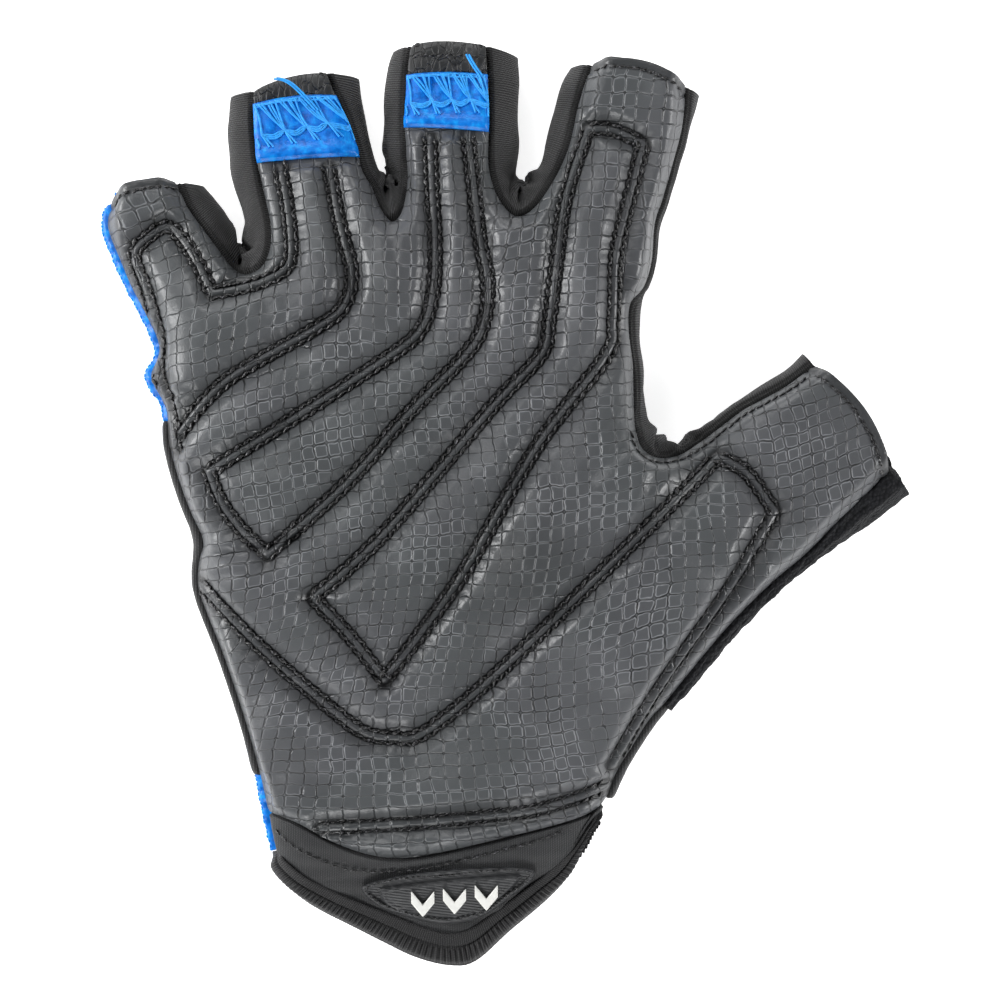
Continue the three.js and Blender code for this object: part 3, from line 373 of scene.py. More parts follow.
FINGERS = {
    "little": ((SIDES["little"], 0, KNUCKLE_ROW), (SIDES["little_ring"], 0, 5)),
    "ring": ((SIDES["little_ring"], 12, 5), (SIDES["ring_middle"], 0, 7)),
    "middle": ((SIDES["ring_middle"], 14, 7), (SIDES["middle_index"], 0, 7)),
    "index": ((SIDES["middle_index"], 14, 7), (SIDES["index_thumb"], 0, INDEX_ROOT_ROW)),
}
# Shares of the way down the left and right side of a finger: end of the hem, end of the tab
HEM_SHARES = {"ring": (0.07, 0.15), "middle": (0.17, 0.16)}
TAB_SHARES = {"ring": (0.37, 0.55), "middle": (0.46, 0.48)}
EDGE_GAP = 0.15
TUCK = 1.6                       # how far cloth runs on beneath the edge of the leather


def mouth(name):
    """The leather's end across a finger."""
    left_share, right_share = HEM_SHARES.get(name, (0.0, 0.0))
    bow_share = 0.73 if name in HEM_SHARES else 1.0
    across = np.linspace(0, 1, 25)
    return finger_ends(name, *FINGERS[name], left_share, right_share, across, bow_share)


def side_line(name, first, last, edge=0):
    """Part of a side of the outline, from one row to another."""
    at = np.linspace(first, last, int(abs(last - first) * 6) + 2)
    return stations(SIDES[name], at)[edge]


def bowed(a, b, bow, count=25):
    """A line from a to b that bows to its left."""
    t = np.linspace(0, 1, count)[:, None]
    outward = unit(np.array([a[1] - b[1], b[0] - a[0]]))
    return a * (1 - t) + b * t + outward * bow * 4 * t * (1 - t)


def share_row(side, share):
    return float(even_rows(*side, [share])[0])


ring_left, ring_right = FINGERS["ring"]
middle_left, middle_right = FINGERS["middle"]
thumb_lower_end = stations(SIDES["thumb"], [0])[0][0]
thumb_upper_end = stations(SIDES["index_thumb"], [20])[0][0]
thumb_end = bowed(thumb_lower_end, thumb_upper_end, -DIGITS["thumb"][2])
HEM_LINE = drawn_line(LEATHER_HEM, 55)
leather_outline = np.vstack([
    side_line("little", 0, WRIST_ROW),
    HEM_LINE,
    side_line("thumb", THUMB_WRIST_ROW, 0),
    thumb_end,
    side_line("index_thumb", 20, 0),
    mouth("index")[::-1],
    side_line("middle_index", 14, share_row(middle_right, HEM_SHARES["middle"][1])),
    mouth("middle")[::-1],
    side_line("ring_middle", share_row(middle_left, HEM_SHARES["middle"][0]),
              share_row(ring_right, HEM_SHARES["ring"][1])),
    mouth("ring")[::-1],
    side_line("little_ring", share_row(ring_left, HEM_SHARES["ring"][0]), 0),
    mouth("little")[::-1],
])


def inside_of(points, outline):
    """Which points lie inside a closed outline."""
    inside = np.zeros(len(points), bool)
    for a, b in zip(outline, np.roll(outline, -1, axis=0)):
        spans = (a[1] > points[:, 1]) != (b[1] > points[:, 1])
        rise = b[1] - a[1] if b[1] != a[1] else 1e-9
        inside ^= spans & (points[:, 0] < a[0] + (points[:, 1] - a[1]) / rise * (b[0] - a[0]))
    return inside


def flat_places(verts):
    return np.array([vert.co[:2] for vert in verts])


def lay(form, places):
    """Moves the corners of a form to places in millimetres."""
    for vert, spot in zip(form.verts, places * MM):
        vert.co = spot


def cut_sheet(outline, cell):
    """A flat sheet of small square cells, cut along an outline. In millimetres."""
    low, high = outline.min(0) - cell, outline.max(0) + cell
    counts = np.ceil((high - low) / cell).astype(int)
    form = bmesh.new()
    bmesh.ops.create_grid(form, x_segments=int(counts[0]), y_segments=int(counts[1]), size=0.5)
    flat = flat_places(form.verts)
    flat = low + (flat - flat.min(0)) / (flat.max(0) - flat.min(0)) * (high - low)
    for vert, spot in zip(form.verts, flat):
        vert.co = (spot[0], spot[1], 0)
    edge = segments_of([closed(outline)])
    dropped = ~inside_of(flat, outline) | (nearest(flat, edge)["gap"] < 0.3 * cell)
    waste = [vert for vert, drop in zip(form.verts, dropped) if drop]
    bmesh.ops.delete(form, geom=waste, context="VERTS")
    pinched = [
        vert for vert in form.verts
        if sum(rim.is_boundary for rim in vert.link_edges) != 2 and vert.is_boundary
    ]
    bmesh.ops.delete(form, geom=pinched, context="VERTS")
    spare = [vert for vert in form.verts if not vert.link_faces]
    bmesh.ops.delete(form, geom=spare, context="VERTS")
    rim = [vert for vert in form.verts if vert.is_boundary]
    spots = nearest(flat_places(rim), edge)["foot"]
    for vert, spot in zip(rim, spots):
        vert.co = (spot[0], spot[1], 0)
    bmesh.ops.remove_doubles(form, verts=rim, dist=0.25 * cell)
    twisted = [
        face for face in form.faces
        if 1 < sum(corner.calc_normal().z > 0 for corner in face.loops) < len(face.loops) - 1
    ]
    bmesh.ops.delete(form, geom=twisted, context="FACES")
    rim = [vert for vert in form.verts if vert.is_boundary]
    beside = rim
    for _ in range(2):
        beside = {other for vert in beside for link in vert.link_edges for other in link.verts}
    loose = [vert for vert in beside if not vert.is_boundary]
    for _ in range(4):
        bmesh.ops.smooth_vert(form, verts=loose, factor=0.5, use_axis_x=True, use_axis_y=True)
    return form


def roughly(points, size, seed):
    """Smooth noise over places in the drawing, its lumps about `size` millimetres wide."""
    spots = np.asarray(points) / size
    return np.array([noise.noise((spot[0], spot[1], seed)) for spot in spots])


CHANNEL_LINES = [drawn_line(rows, (len(rows) - 1) * 8 + 1) for rows in CHANNELS]
CHANNEL_SEGMENTS = segments_of(CHANNEL_LINES)
HEM_SEGMENTS = segments_of([HEM_LINE])
# Turned hems where the leather ends bare, at the little finger, the index finger and the thumb
BARE_ENDS = segments_of([mouth("little"), mouth("index"), thumb_end])
BARE_HEM = 1.85
ROW_OFFSET = 1.08                # from the middle of a channel to each row of stitches
STITCH_PITCH = 2.15
PAD_RISE = 2.1
# x1 y1 x2 y2 in percent, depth and half width in millimetres
CREASES = [
    (12.6, 43.6, 25.6, 46.4, 0.75, 1.3), (13.0, 45.2, 19.0, 44.3, 0.4, 1.0),
    (8.6, 61.0, 12.4, 62.4, 0.4, 1.0), (66.6, 57.2, 61.0, 53.0, 0.35, 1.6),
    (69.5, 54.6, 67.0, 48.4, 0.3, 1.5), (20.0, 74.3, 21.6, 70.6, 0.3, 1.3),
    (36.7, 79.6, 36.9, 75.8, 0.25, 1.2), (52.2, 80.3, 52.4, 76.4, 0.25, 1.2),
    (68.4, 74.6, 66.6, 72.6, 0.35, 1.2), (84.8, 43.4, 79.2, 45.0, 0.3, 1.6),
    (21.6, 30.5, 30.0, 29.5, 0.2, 1.8), (33.0, 83.0, 31.8, 77.5, 0.25, 1.0),
    (25.4, 14.5, 31.0, 14.5, 0.6, 0.8), (31.0, 14.5, 37.8, 13.9, 0.5, 0.8),
]
CREASE_SEGMENTS = [segments_of([place([crease[:2], crease[2:4]])]) for crease in CREASES]


def below_tabs(points):
    """0 where a tab covers the leather, 1 away from it."""
    free = np.ones(len(points))
    for name, (left_share, right_share) in TAB_SHARES.items():
        a, b = finger_ends(name, *FINGERS[name], left_share, right_share, [0, 1], 0.3)
        along = unit(b - a)
        down = np.array([along[1], -along[0]])
        across = (points - a) @ along / np.linalg.norm(b - a)
        depth = (points - a) @ down
        here = (across > -0.25) & (across < 1.25) & (depth > -25) & (depth < 3)
        free = np.where(here, smooth_step((depth - 0.2) / 2.6), free)
    return free


def leather_at(points):
    """Places and facings on the quilted leather, in millimetres."""
    at, facing = skin(points)
    channel = nearest(points, CHANNEL_SEGMENTS)
    gap, run = channel["gap"], channel["run"]
    edge = nearest(points, LEATHER_SIDES)["gap"]
    hem = nearest(points, HEM_SEGMENTS)["gap"]
    border = smooth_step((edge - 0.7) / 3.2) * smooth_step(hem / 2.2)
    pad = smooth_step((gap - 0.9) / 3.0) * border
    lumps = roughly(points, 13, 3.1) * 1.2 + roughly(points, 5.5, 8.4) * 0.36
    rise = PAD_RISE * pad * (0.8 + 0.35 * smooth_step(gap / 9)) + lumps * pad
    beat = 2 * math.pi * (run / STITCH_PITCH + 0.35 * roughly(points, 5, 1.7))
    rise += 0.12 * bell(gap, 2.2, 0.8) * np.sin(beat) * border
    rise += 0.55 * bell(gap, 0, 0.5) * smooth_step(edge / 2)
    sunk = 0.78 + 0.22 * np.cos(2 * math.pi * run / STITCH_PITCH)
    rise -= 0.6 * sunk * bell(gap, ROW_OFFSET, 0.4) * smooth_step(edge / 2)
    rise -= 0.3 * bell(edge, 0, 0.55)
    rise -= 0.45 * bell(nearest(points, BARE_ENDS)["gap"], BARE_HEM, 0.45)
    for (*_, depth, half_width), segments in zip(CREASES, CREASE_SEGMENTS):
        far = nearest(points, segments)["gap"] / half_width
        rise += depth * (0.45 * bell(far, 1.7, 0.8) - bell(far, 0, 1)) * border
    rise *= below_tabs(points)
    return at + facing * rise[:, None], facing, gap


# How the rows of scales run: x, y, lean of one family of lines clockwise from up and slope of
# the other rising to the right in degrees, and the size of a scale in millimetres
SCALE_FLOW = [
    (6.2, 78.8, -27, 25, 2.9), (10.6, 64.5, -4, 8, 2.5), (16.6, 68.4, 22, 18, 2.7),
    (27.0, 81.4, -8, 6, 2.9), (36.0, 70.9, -5, -10, 2.4), (43.3, 82.7, 0, 0, 3.0),
    (67.1, 88.0, 10, -4, 2.9), (68.0, 96.0, 12, -10, 2.9), (54.8, 76.0, 26, 14, 2.6),
    (63.4, 68.7, 14, 4, 2.5), (31.4, 55.1, -10, 15, 2.6), (35.8, 42.0, 0, 2, 2.5),
    (49.3, 36.8, 13, -13, 2.4), (23.9, 34.2, 38, 25, 2.3), (17.9, 29.0, 22, 8, 2.2),
    (25.0, 20.0, 14, -8, 2.2), (38.8, 22.5, -19, 3, 2.5), (52.2, 22.5, -16, 2, 2.5),
    (62.2, 46.5, 25, 20, 2.4), (71.2, 45.2, -3, -3, 2.5), (80.2, 47.3, -20, -15, 2.5),
    (63.8, 38.6, 20, 20, 2.5), (72.7, 37.4, 5, 10, 2.4), (68.2, 30.8, 8, 22, 2.3),
    (59.2, 32.1, -5, 10, 2.4), (57.8, 24.3, -22, 15, 2.4), (58.4, 58.0, 12, -4, 2.4),
    (44.8, 52.5, -24, 8, 2.5), (97.0, 54.5, -30, 26, 2.3), (20.0, 50.0, -6, 14, 2.5),
    (90.5, 52.0, -8, 18, 2.2), (87.5, 60.0, -26, 26, 2.2), (86.0, 46.0, 4, 14, 2.2),
    (44.0, 63.0, -8, 6, 2.5), (14.0, 41.0, 4, 4, 2.2),
]


def scale_lines(points):
    """Numbers of the scale lines at places: whole numbers are the grooves between scales."""
    low, high = points.min(0) - 1, points.max(0) + 1
    across, up = 30, 34
    xs, ys = np.linspace(low[0], high[0], across), np.linspace(low[1], high[1], up)
    knots = np.array([(x, y) for y in ys for x in xs])
    flow = np.array(SCALE_FLOW)
    far = ((knots[:, None] - place(flow)[None]) ** 2).sum(2)
    weight = 1 / (far + 30) ** 1.6
    weight /= weight.sum(1, keepdims=True)
    lean, slope, size = np.radians(flow[:, 2]), np.radians(flow[:, 3]), flow[:, 4]
    families = []
    for facing in ((np.cos(lean), -np.sin(lean)), (-np.sin(slope), np.cos(slope))):
        wanted = weight @ np.column_stack([facing[0] / size, facing[1] / size])
        rows = []
        for j in range(up):
            for i in range(across):
                k = j * across + i
                if i + 1 < across:
                    rows.append((k, k + 1))
                if j + 1 < up:
                    rows.append((k, k + across))
        rows = np.array(rows)
        between = (wanted[rows[:, 0]] + wanted[rows[:, 1]]) / 2
        steps = ((knots[rows[:, 1]] - knots[rows[:, 0]]) * between).sum(1)
        system = np.zeros((len(rows) + 1, len(knots)))
        system[np.arange(len(rows)), rows[:, 0]] = -1
        system[np.arange(len(rows)), rows[:, 1]] = 1
        system[-1, 0] = 1
        solved = np.linalg.solve(system.T @ system, system.T @ np.append(steps, 0.0))
        field = solved.reshape(up, across)
        x = (points[:, 0] - xs[0]) / (xs[1] - xs[0])
        y = (points[:, 1] - ys[0]) / (ys[1] - ys[0])
        total = np.zeros(len(points))
        for step_j, weight_j in cubic_weights(y, up):
            for step_i, weight_i in cubic_weights(x, across):
                total += weight_j * weight_i * field[step_j, step_i]
        families.append(total)
    return np.column_stack(families)


def cubic_weights(at, count):
    """The four knots round each number and the shares of a smooth spline between them."""
    k = np.clip(np.floor(at).astype(int), 0, count - 2)
    t = at - k
    shares = [
        (1 - t) ** 3 / 6,
        (3 * t ** 3 - 6 * t ** 2 + 4) / 6,
        (-3 * t ** 3 + 3 * t ** 2 + 3 * t + 1) / 6,
        t ** 3 / 6,
    ]
    return [(np.clip(k + step - 1, 0, count - 1), share) for step, share in enumerate(shares)]


def add_piece(name, mesh):
    """A mesh becomes an object of the glove."""
    piece = bpy.data.objects.new(name, mesh)
    scene.collection.objects.link(piece)
    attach(piece, "root")
    return piece


def write_piece(name, form):
    """A finished form becomes an object of the glove, smooth shaded."""
    mesh = bpy.data.meshes.new(name)
    for face in form.faces:
        face.smooth = True
    form.to_mesh(mesh)
    form.free()
    return add_piece(name, mesh)


def write_map(piece, name, values):
    """A UV map of a value pair for each vertex."""
    mesh = piece.data
    corner = np.empty(len(mesh.loops), int)
    mesh.loops.foreach_get("vertex_index", corner)
    layer = mesh.uv_layers.new(name=name)
    layer.data.foreach_set("uv", np.asarray(values, np.float32)[corner].ravel())


def write_values(piece, name, values):
    layer = piece.data.attributes.new(name, "FLOAT", "POINT")
    layer.data.foreach_set("value", np.asarray(values, np.float32))


def wall(piece, thickness):
    """Gives a sheet its thickness, inwards from its outer face."""
    solid = piece.modifiers.new("wall", "SOLIDIFY")
    solid.thickness = thickness * MM
    solid.offset = -1


def dress(piece, material, node=None, thickness=None):
    """Gives a piece its wall and its finish, and hides the solid that it stands for."""
    if thickness:
        wall(piece, thickness)
    piece.data.materials.append(material)
    if node:
        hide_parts(node)


LEATHER_CELL = 0.55
LEATHER_WALL = 1.2
# Places of painted shade on the leather: x and y in percent, depth, half width in millimetres
SHADED_PLACES = [(53.5, 43.5, 0.3, 15.0), (36.5, 77.5, 0.14, 10.0), (98.5, 56.5, 0.2, 10.0)]
palm_form = cut_sheet(leather_outline, LEATHER_CELL)
palm_flat = flat_places(palm_form.verts)
palm_at, _, palm_gap = leather_at(palm_flat)
lay(palm_form, palm_at)
palm = write_piece("palm_leather", palm_form)
write_map(palm, "scales", scale_lines(palm_flat))
write_values(palm, "seam_gap", palm_gap)
write_values(palm, "hem_gap", nearest(palm_flat, BARE_ENDS)["gap"])
shade = np.ones(len(palm_flat))
for x, y, depth, half_width in SHADED_PLACES:
    far = np.linalg.norm(palm_flat - place([(x, y)]), axis=1)
    shade -= depth * bell(far, 0, half_width)
write_values(palm, "shade", shade)
write_values(palm, "tilt", [1 - normal.vector[2] for normal in palm.data.vertex_normals])
wall(palm, LEATHER_WALL)
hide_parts("palm_panel")


def new_material(name, colour, roughness):
    """A material with plain values to start from: its tree and its Principled shader."""
    material = bpy.data.materials.new(name)
    material.use_nodes = True
    shader = material.node_tree.nodes["Principled BSDF"]
    shader.inputs["Base Color"].default_value = (*colour, 1)
    shader.inputs["Roughness"].default_value = roughness
    return material, material.node_tree, shader


def feed(tree, socket, entry):
    if isinstance(entry, bpy.types.NodeSocket):
        tree.links.new(entry, socket)
    elif isinstance(entry, tuple) and socket.type == "RGBA":
        socket.default_value = (*entry, 1)
    else:
        socket.default_value = entry


def reckon(tree, operation, *entries):
    """A Math node on numbers or other nodes' values."""
    node = tree.nodes.new("ShaderNodeMath")
    node.operation = operation
    for socket, entry in zip(node.inputs, entries):
        feed(tree, socket, entry)
    return node.outputs["Value"]


def product(tree, first, *others):
    """Values multiplied together."""
    for other in others:
        first = reckon(tree, "MULTIPLY", first, other)
    return first


def ramped(tree, value, low, high, to_low=0.0, to_high=1.0):
    """A smooth step of a value from one range to another."""
    node = tree.nodes.new("ShaderNodeMapRange")
    node.interpolation_type = "SMOOTHSTEP"
    entries = (value, low, high, to_low, to_high)
    names = ("Value", "From Min", "From Max", "To Min", "To Max")
    for socket_name, entry in zip(names, entries):
        feed(tree, node.inputs[socket_name], entry)
    return node.outputs["Result"]


def mixed(tree, share, one, other):
    """Between two colours."""
    node = tree.nodes.new("ShaderNodeMix")
    node.data_type = "RGBA"
    feed(tree, node.inputs[0], share)
    feed(tree, node.inputs[6], one)
    feed(tree, node.inputs[7], other)
    return node.outputs[2]


def toned(tree, shader, colour, brightness):
    """The base colour, made lighter or darker by a value that changes over the surface."""
    node = tree.nodes.new("ShaderNodeVectorMath")
    node.operation = "SCALE"
    feed(tree, node.inputs[0], colour)
    feed(tree, node.inputs["Scale"], brightness)
    tree.links.new(node.outputs["Vector"], shader.inputs["Base Color"])


def bumped(tree, shader, *layers):
    """Bump nodes on top of each other: pairs of a height and a depth in metres."""
    below = None
    for height, depth in layers:
        node = tree.nodes.new("ShaderNodeBump")
        node.inputs["Distance"].default_value = depth
        feed(tree, node.inputs["Height"], height)
        if below is not None:
            tree.links.new(below, node.inputs["Normal"])
        below = node.outputs["Normal"]
    tree.links.new(below, shader.inputs["Normal"])


def object_places(tree):
    return tree.nodes.new("ShaderNodeTexCoord").outputs["Object"]


def noisy(tree, size, detail=3.0):
    """Noise in Object coordinates, its lumps about `size` millimetres wide."""
    node = tree.nodes.new("ShaderNodeTexNoise")
    node.inputs["Scale"].default_value = 1000 / size
    node.inputs["Detail"].default_value = detail
    tree.links.new(object_places(tree), node.inputs["Vector"])
    return node.outputs["Fac"]


def map_of(tree, name):
    """The two values of a piece's own UV map."""
    node = tree.nodes.new("ShaderNodeUVMap")
    node.uv_map = name
    split = tree.nodes.new("ShaderNodeSeparateXYZ")
    tree.links.new(node.outputs["UV"], split.inputs["Vector"])
    return split.outputs["X"], split.outputs["Y"]


def value_of(tree, name):
    node = tree.nodes.new("ShaderNodeAttribute")
    node.attribute_name = name
    return node.outputs["Fac"]


def new_group(name, inputs, outputs):
    """A shader node group for an effect: its tree, its inputs by name and its output node."""
    tree = bpy.data.node_groups.new(name, "ShaderNodeTree")
    for socket_name, start in inputs.items():
        made = tree.interface.new_socket(socket_name, in_out="INPUT", socket_type="NodeSocketFloat")
        made.default_value = start
    for socket_name in outputs:
        tree.interface.new_socket(socket_name, in_out="OUTPUT", socket_type="NodeSocketFloat")
    given = tree.nodes.new("NodeGroupInput").outputs
    result = tree.nodes.new("NodeGroupOutput").inputs
    return tree, given, result


def use_group(tree, group, **entries):
    node = tree.nodes.new("ShaderNodeGroup")
    node.node_tree = group
    for socket_name, entry in entries.items():
        feed(tree, node.inputs[socket_name], entry)
    return node.outputs


# Scales pressed into the leather: rounded cells between narrow grooves, edged by painted highlight
# and shade lines
scale_group, scale_in, scale_out = new_group(
    "pressed_scales", {"U": 0.0, "V": 0.0, "Corner": 0.2, "Groove": 0.06},
    ["Highlight line", "Shade line", "Raised", "Tone"],
)
half_cells = []
floors = []
for side_name in ("U", "V"):
    waver = scale_in[side_name]
    floors.append(reckon(scale_group, "FLOOR", waver))
    off_centre = reckon(scale_group, "SUBTRACT", reckon(scale_group, "FRACT", waver), 0.5)
    far_out = reckon(scale_group, "ABSOLUTE", off_centre)
    reach = reckon(scale_group, "SUBTRACT", 0.5, scale_in["Groove"])
    straight = reckon(scale_group, "SUBTRACT", reach, scale_in["Corner"])
    past = reckon(scale_group, "SUBTRACT", far_out, straight)
    half_cells.append(reckon(scale_group, "MAXIMUM", past, 0.0))
squares = [product(scale_group, value, value) for value in half_cells]
corner_far = reckon(scale_group, "SQRT", reckon(scale_group, "ADD", *squares))
rim_far = reckon(scale_group, "SUBTRACT", corner_far, scale_in["Corner"])
# A painted highlight line just inside each cell's rim and a painted shade line in the groove
for line_name, line_at in (("Highlight line", -0.05), ("Shade line", 0.03)):
    off_line = reckon(scale_group, "ABSOLUTE", reckon(scale_group, "SUBTRACT", rim_far, line_at))
    feed(scale_group, scale_out[line_name], ramped(scale_group, off_line, 0.06, 0.01))
feed(scale_group, scale_out["Raised"], ramped(scale_group, rim_far, 0.025, -0.055))
cell_place = scale_group.nodes.new("ShaderNodeCombineXYZ")
feed(scale_group, cell_place.inputs["X"], floors[0])
feed(scale_group, cell_place.inputs["Y"], floors[1])
cell_chance = scale_group.nodes.new("ShaderNodeTexWhiteNoise")
cell_chance.noise_dimensions = "3D"
scale_group.links.new(cell_place.outputs["Vector"], cell_chance.inputs["Vector"])
scale_group.links.new(cell_chance.outputs["Value"], scale_out["Tone"])

LEATHER_GREY = (0.083, 0.088, 0.092)
leather, tree, shader = new_material("embossed_leather", LEATHER_GREY, 0.45)
scale_u, scale_v = map_of(tree, "scales")
wander = noisy(tree, 4.2, 2.0)
sway = product(tree, reckon(tree, "SUBTRACT", wander, 0.5), 0.62)
scales = use_group(
    tree,
    scale_group,
    U=reckon(tree, "ADD", scale_u, sway),
    V=reckon(tree, "SUBTRACT", scale_v, sway),
    Corner=0.15,
    Groove=ramped(tree, noisy(tree, 17.0, 1.0), 0.38, 0.62, 0.012, 0.05),
)
tilt = value_of(tree, "tilt")
inside_hem = ramped(tree, value_of(tree, "hem_gap"), 1.3, 1.9)
seam_gap = value_of(tree, "seam_gap")
blotches = noisy(tree, 22.0, 4.0)
pores = noisy(tree, 0.45, 2.0)
cell_tone = reckon(tree, "MULTIPLY_ADD", scales["Tone"], 0.10, 0.95)
blotch_tone = reckon(tree, "MULTIPLY_ADD", blotches, 0.5, 0.75)
# Painted shade in the dents along each row of stitches
row_far = reckon(tree, "ABSOLUTE", reckon(tree, "SUBTRACT", seam_gap, ROW_OFFSET))
stitch_row_shade = ramped(tree, row_far, 0.25, 0.8, 0.4, 1.0)
# Painted shade in the valleys beside the channels, a little lighter on the pads
valley_shade = ramped(tree, seam_gap, 1.4, 4.2, 0.72, 1.04)
hem_tone = reckon(tree, "MULTIPLY_ADD", inside_hem, 0.45, 0.55)
# Painted highlight on the scale rims: stronger where the leather faces up, in random patches, none
# in the hems
lit_by_tilt = ramped(tree, tilt, 0.01, 0.14, 1.0, 0.1)
highlight_patches = ramped(tree, noisy(tree, 9.0, 2.0), 0.38, 0.6, 0.1, 1.4)
highlight_depth = product(tree, lit_by_tilt, highlight_patches, inside_hem)
highlight_share = reckon(tree, "MULTIPLY_ADD", highlight_depth, scales["Highlight line"], 1.0)
# Painted shade in the scale grooves, of randomly changing strength, none in the hems
groove_shade_depth = ramped(tree, noisy(tree, 3.2, 1.0), 0.35, 0.62, -0.8, -0.3)
groove_shade_strength = product(tree, groove_shade_depth, inside_hem)
groove_shade_share = reckon(tree, "MULTIPLY_ADD", scales["Shade line"], groove_shade_strength, 1.0)
# The leather's own tone from its cells, blotches and hems, with the painted shade and highlights
leather_tone_and_shading = product(
    tree, cell_tone, blotch_tone, stitch_row_shade, valley_shade, value_of(tree, "shade"),
    hem_tone, highlight_share, groove_shade_share)
tint_share = ramped(tree, noisy(tree, 30.0, 2.0), 0.4, 0.6)
leather_tint = mixed(tree, tint_share, (0.074, 0.079, 0.083), (0.078, 0.081, 0.087))
toned(tree, shader, leather_tint, leather_tone_and_shading)
gloss = reckon(tree, "MULTIPLY_ADD", blotches, 0.2, 0.26)
feed(tree, shader.inputs["Roughness"], gloss)
cell_lift = reckon(tree, "MULTIPLY_ADD", scales["Tone"], 0.25, scales["Raised"])
cell_lift = product(tree, cell_lift, inside_hem)
bumped(tree, shader, (pores, 0.00006), (cell_lift, 0.0002))
shader.inputs["Specular IOR Level"].default_value = 0.5
palm.data.materials.append(leather)


# Stitches of the palm. Thick black thread, two rows to a channel and one row along the hems:
# each stitch is a short slanting twist of two plies that lies in the dent it pulls.
def stitch_form(length, width):
    form = bmesh.new()
    bmesh.ops.create_uvsphere(form, u_segments=8, v_segments=6, radius=0.5)
    for vert in form.verts:
        turn = math.atan2(vert.co.y, vert.co.x)
        ply = 1 + 0.28 * math.cos(2 * turn - 9 * vert.co.z)
        vert.co = (vert.co.x * width * ply, vert.co.y * width * ply * 0.85, vert.co.z * length)
    return form


def point_on(line, run, at):
    return np.column_stack([np.interp(at, run, line[:, 0]), np.interp(at, run, line[:, 1])])


def row_places(line, pitch, offset=0.0, start=0.8):
    """Evenly spaced places along a line, moved to one side of it, and its direction there."""
    run = run_along(line)
    at = np.arange(start, run[-1] - 0.5, pitch)
    ahead = point_on(line, run, np.minimum(at + 0.4, run[-1]))
    direction = unit(ahead - point_on(line, run, np.maximum(at - 0.4, 0)))
    aside = np.column_stack([-direction[:, 1], direction[:, 0]])
    return point_on(line, run, at) + aside * offset, direction


def laid_rows(rows, surface, slant, lift, seed):
    """Spots, directions and facings of stitches on a surface, each a little uneven."""
    chance = np.random.default_rng(seed)
    spots = np.concatenate([row[0] for row in rows])
    ways = np.concatenate([row[1] for row in rows])
    spots = spots + chance.normal(0, 0.05, spots.shape)
    at, facing = surface(spots)[:2]
    ways = np.column_stack([ways, np.zeros(len(ways))])
    ways = unit(ways - facing * (ways * facing).sum(1)[:, None])
    aside = np.cross(facing, ways)
    turn = np.radians(slant + chance.normal(0, 6, len(ways)))[:, None]
    ways = ways * np.cos(turn) + aside * np.sin(turn)
    return at + facing * lift, ways, facing


def strew(name, form, spots, ways, facings):
    """One mesh of many copies of a small form, its Z along each way and its Y facing up."""
    shape = np.array([vert.co[:] for vert in form.verts])
    faces = [[vert.index for vert in face.verts] for face in form.faces]
    form.free()
    turns = np.stack([np.cross(facings, ways), facings, ways], axis=1)
    places = (spots[:, None] + shape @ turns).reshape(-1, 3) * MM
    copies = [
        [index + number * len(shape) for index in face]
        for number in range(len(spots)) for face in faces
    ]
    mesh = bpy.data.meshes.new(name)
    mesh.from_pydata(places.tolist(), [], copies)
    mesh.shade_smooth()
    return add_piece(name, mesh)


def inward_line(line, other, step):
    """A line moved away from another by a step."""
    return line + unit(line - other) * step


def hem_row(end_line, towards, step):
    """A row of stitches beside the end of a finger, moved down towards its root."""
    return (end_line + unit(place([towards])[0] - end_line.mean(0)) * step)[1:-1]


def leather_row(line, pitch, offset=0.0, start=0.8):
    """A row of stitches along a line, without those that would miss the leather."""
    spots, ways = row_places(line, pitch, offset, start)
    kept = inside_of(spots, leather_outline) & (nearest(spots, LEATHER_SIDES)["gap"] > 0.7)
    return spots[kept], ways[kept]


THIN_CHANNELS = (12, 13)
THIN_PITCH = 1.7
END_PITCH = 1.5
thick_rows = []
cross_rows = []
thin_rows = []
for number, line in enumerate(CHANNEL_LINES):
    for side in (-1, 1):
        offset, start = side * ROW_OFFSET, 0.7 + 0.3 * side
        if number in THIN_CHANNELS:
            thin_rows.append(leather_row(line, 1.8, offset, start))
        else:
            thick_rows.append(leather_row(line, STITCH_PITCH, offset, start))
            cross_rows.append(leather_row(line, STITCH_PITCH, offset, start + STITCH_PITCH / 2))
crotch_sides = (side_line("index_thumb", 11.2, 19.6, edge) for edge in (0, 1))
bare_ends = [(mouth("little"), (11, 73)), (mouth("index"), (62, 75)), (thumb_end, (76, 46))]
thin_rows += [leather_row(hem_row(end, root, BARE_HEM), END_PITCH) for end, root in bare_ends]
thin_rows.append(leather_row(inward_line(*crotch_sides, 1.5), THIN_PITCH))
left_share, right_share = HEM_SHARES["middle"]
middle_hem_row = finger_ends("middle", *FINGERS["middle"], left_share * 0.45, right_share * 0.45,
                             np.linspace(0.04, 0.96, 25), 0.9)
thick_laid = laid_rows(thick_rows, leather_at, slant=18, lift=0.42, seed=11)
cross_laid = laid_rows(cross_rows, leather_at, slant=-42, lift=0.5, seed=13)
thin_rows.append(row_places(middle_hem_row, THIN_PITCH))
thin_laid = laid_rows(thin_rows, leather_at, slant=12, lift=0.26, seed=12)
palm_stitches = strew("palm_stitches", stitch_form(length=1.9, width=0.84), *thick_laid)
cross_stitches = strew("palm_cross_stitches", stitch_form(length=1.1, width=0.45), *cross_laid)
hem_stitches = strew("hem_stitches", stitch_form(length=1.75, width=0.55), *thin_laid)

THREAD_BLACK = (0.0045, 0.0045, 0.005)
thread, tree, shader = new_material("black_thread", THREAD_BLACK, 0.28)
thread_fuzz = noisy(tree, 0.22, 2.0)
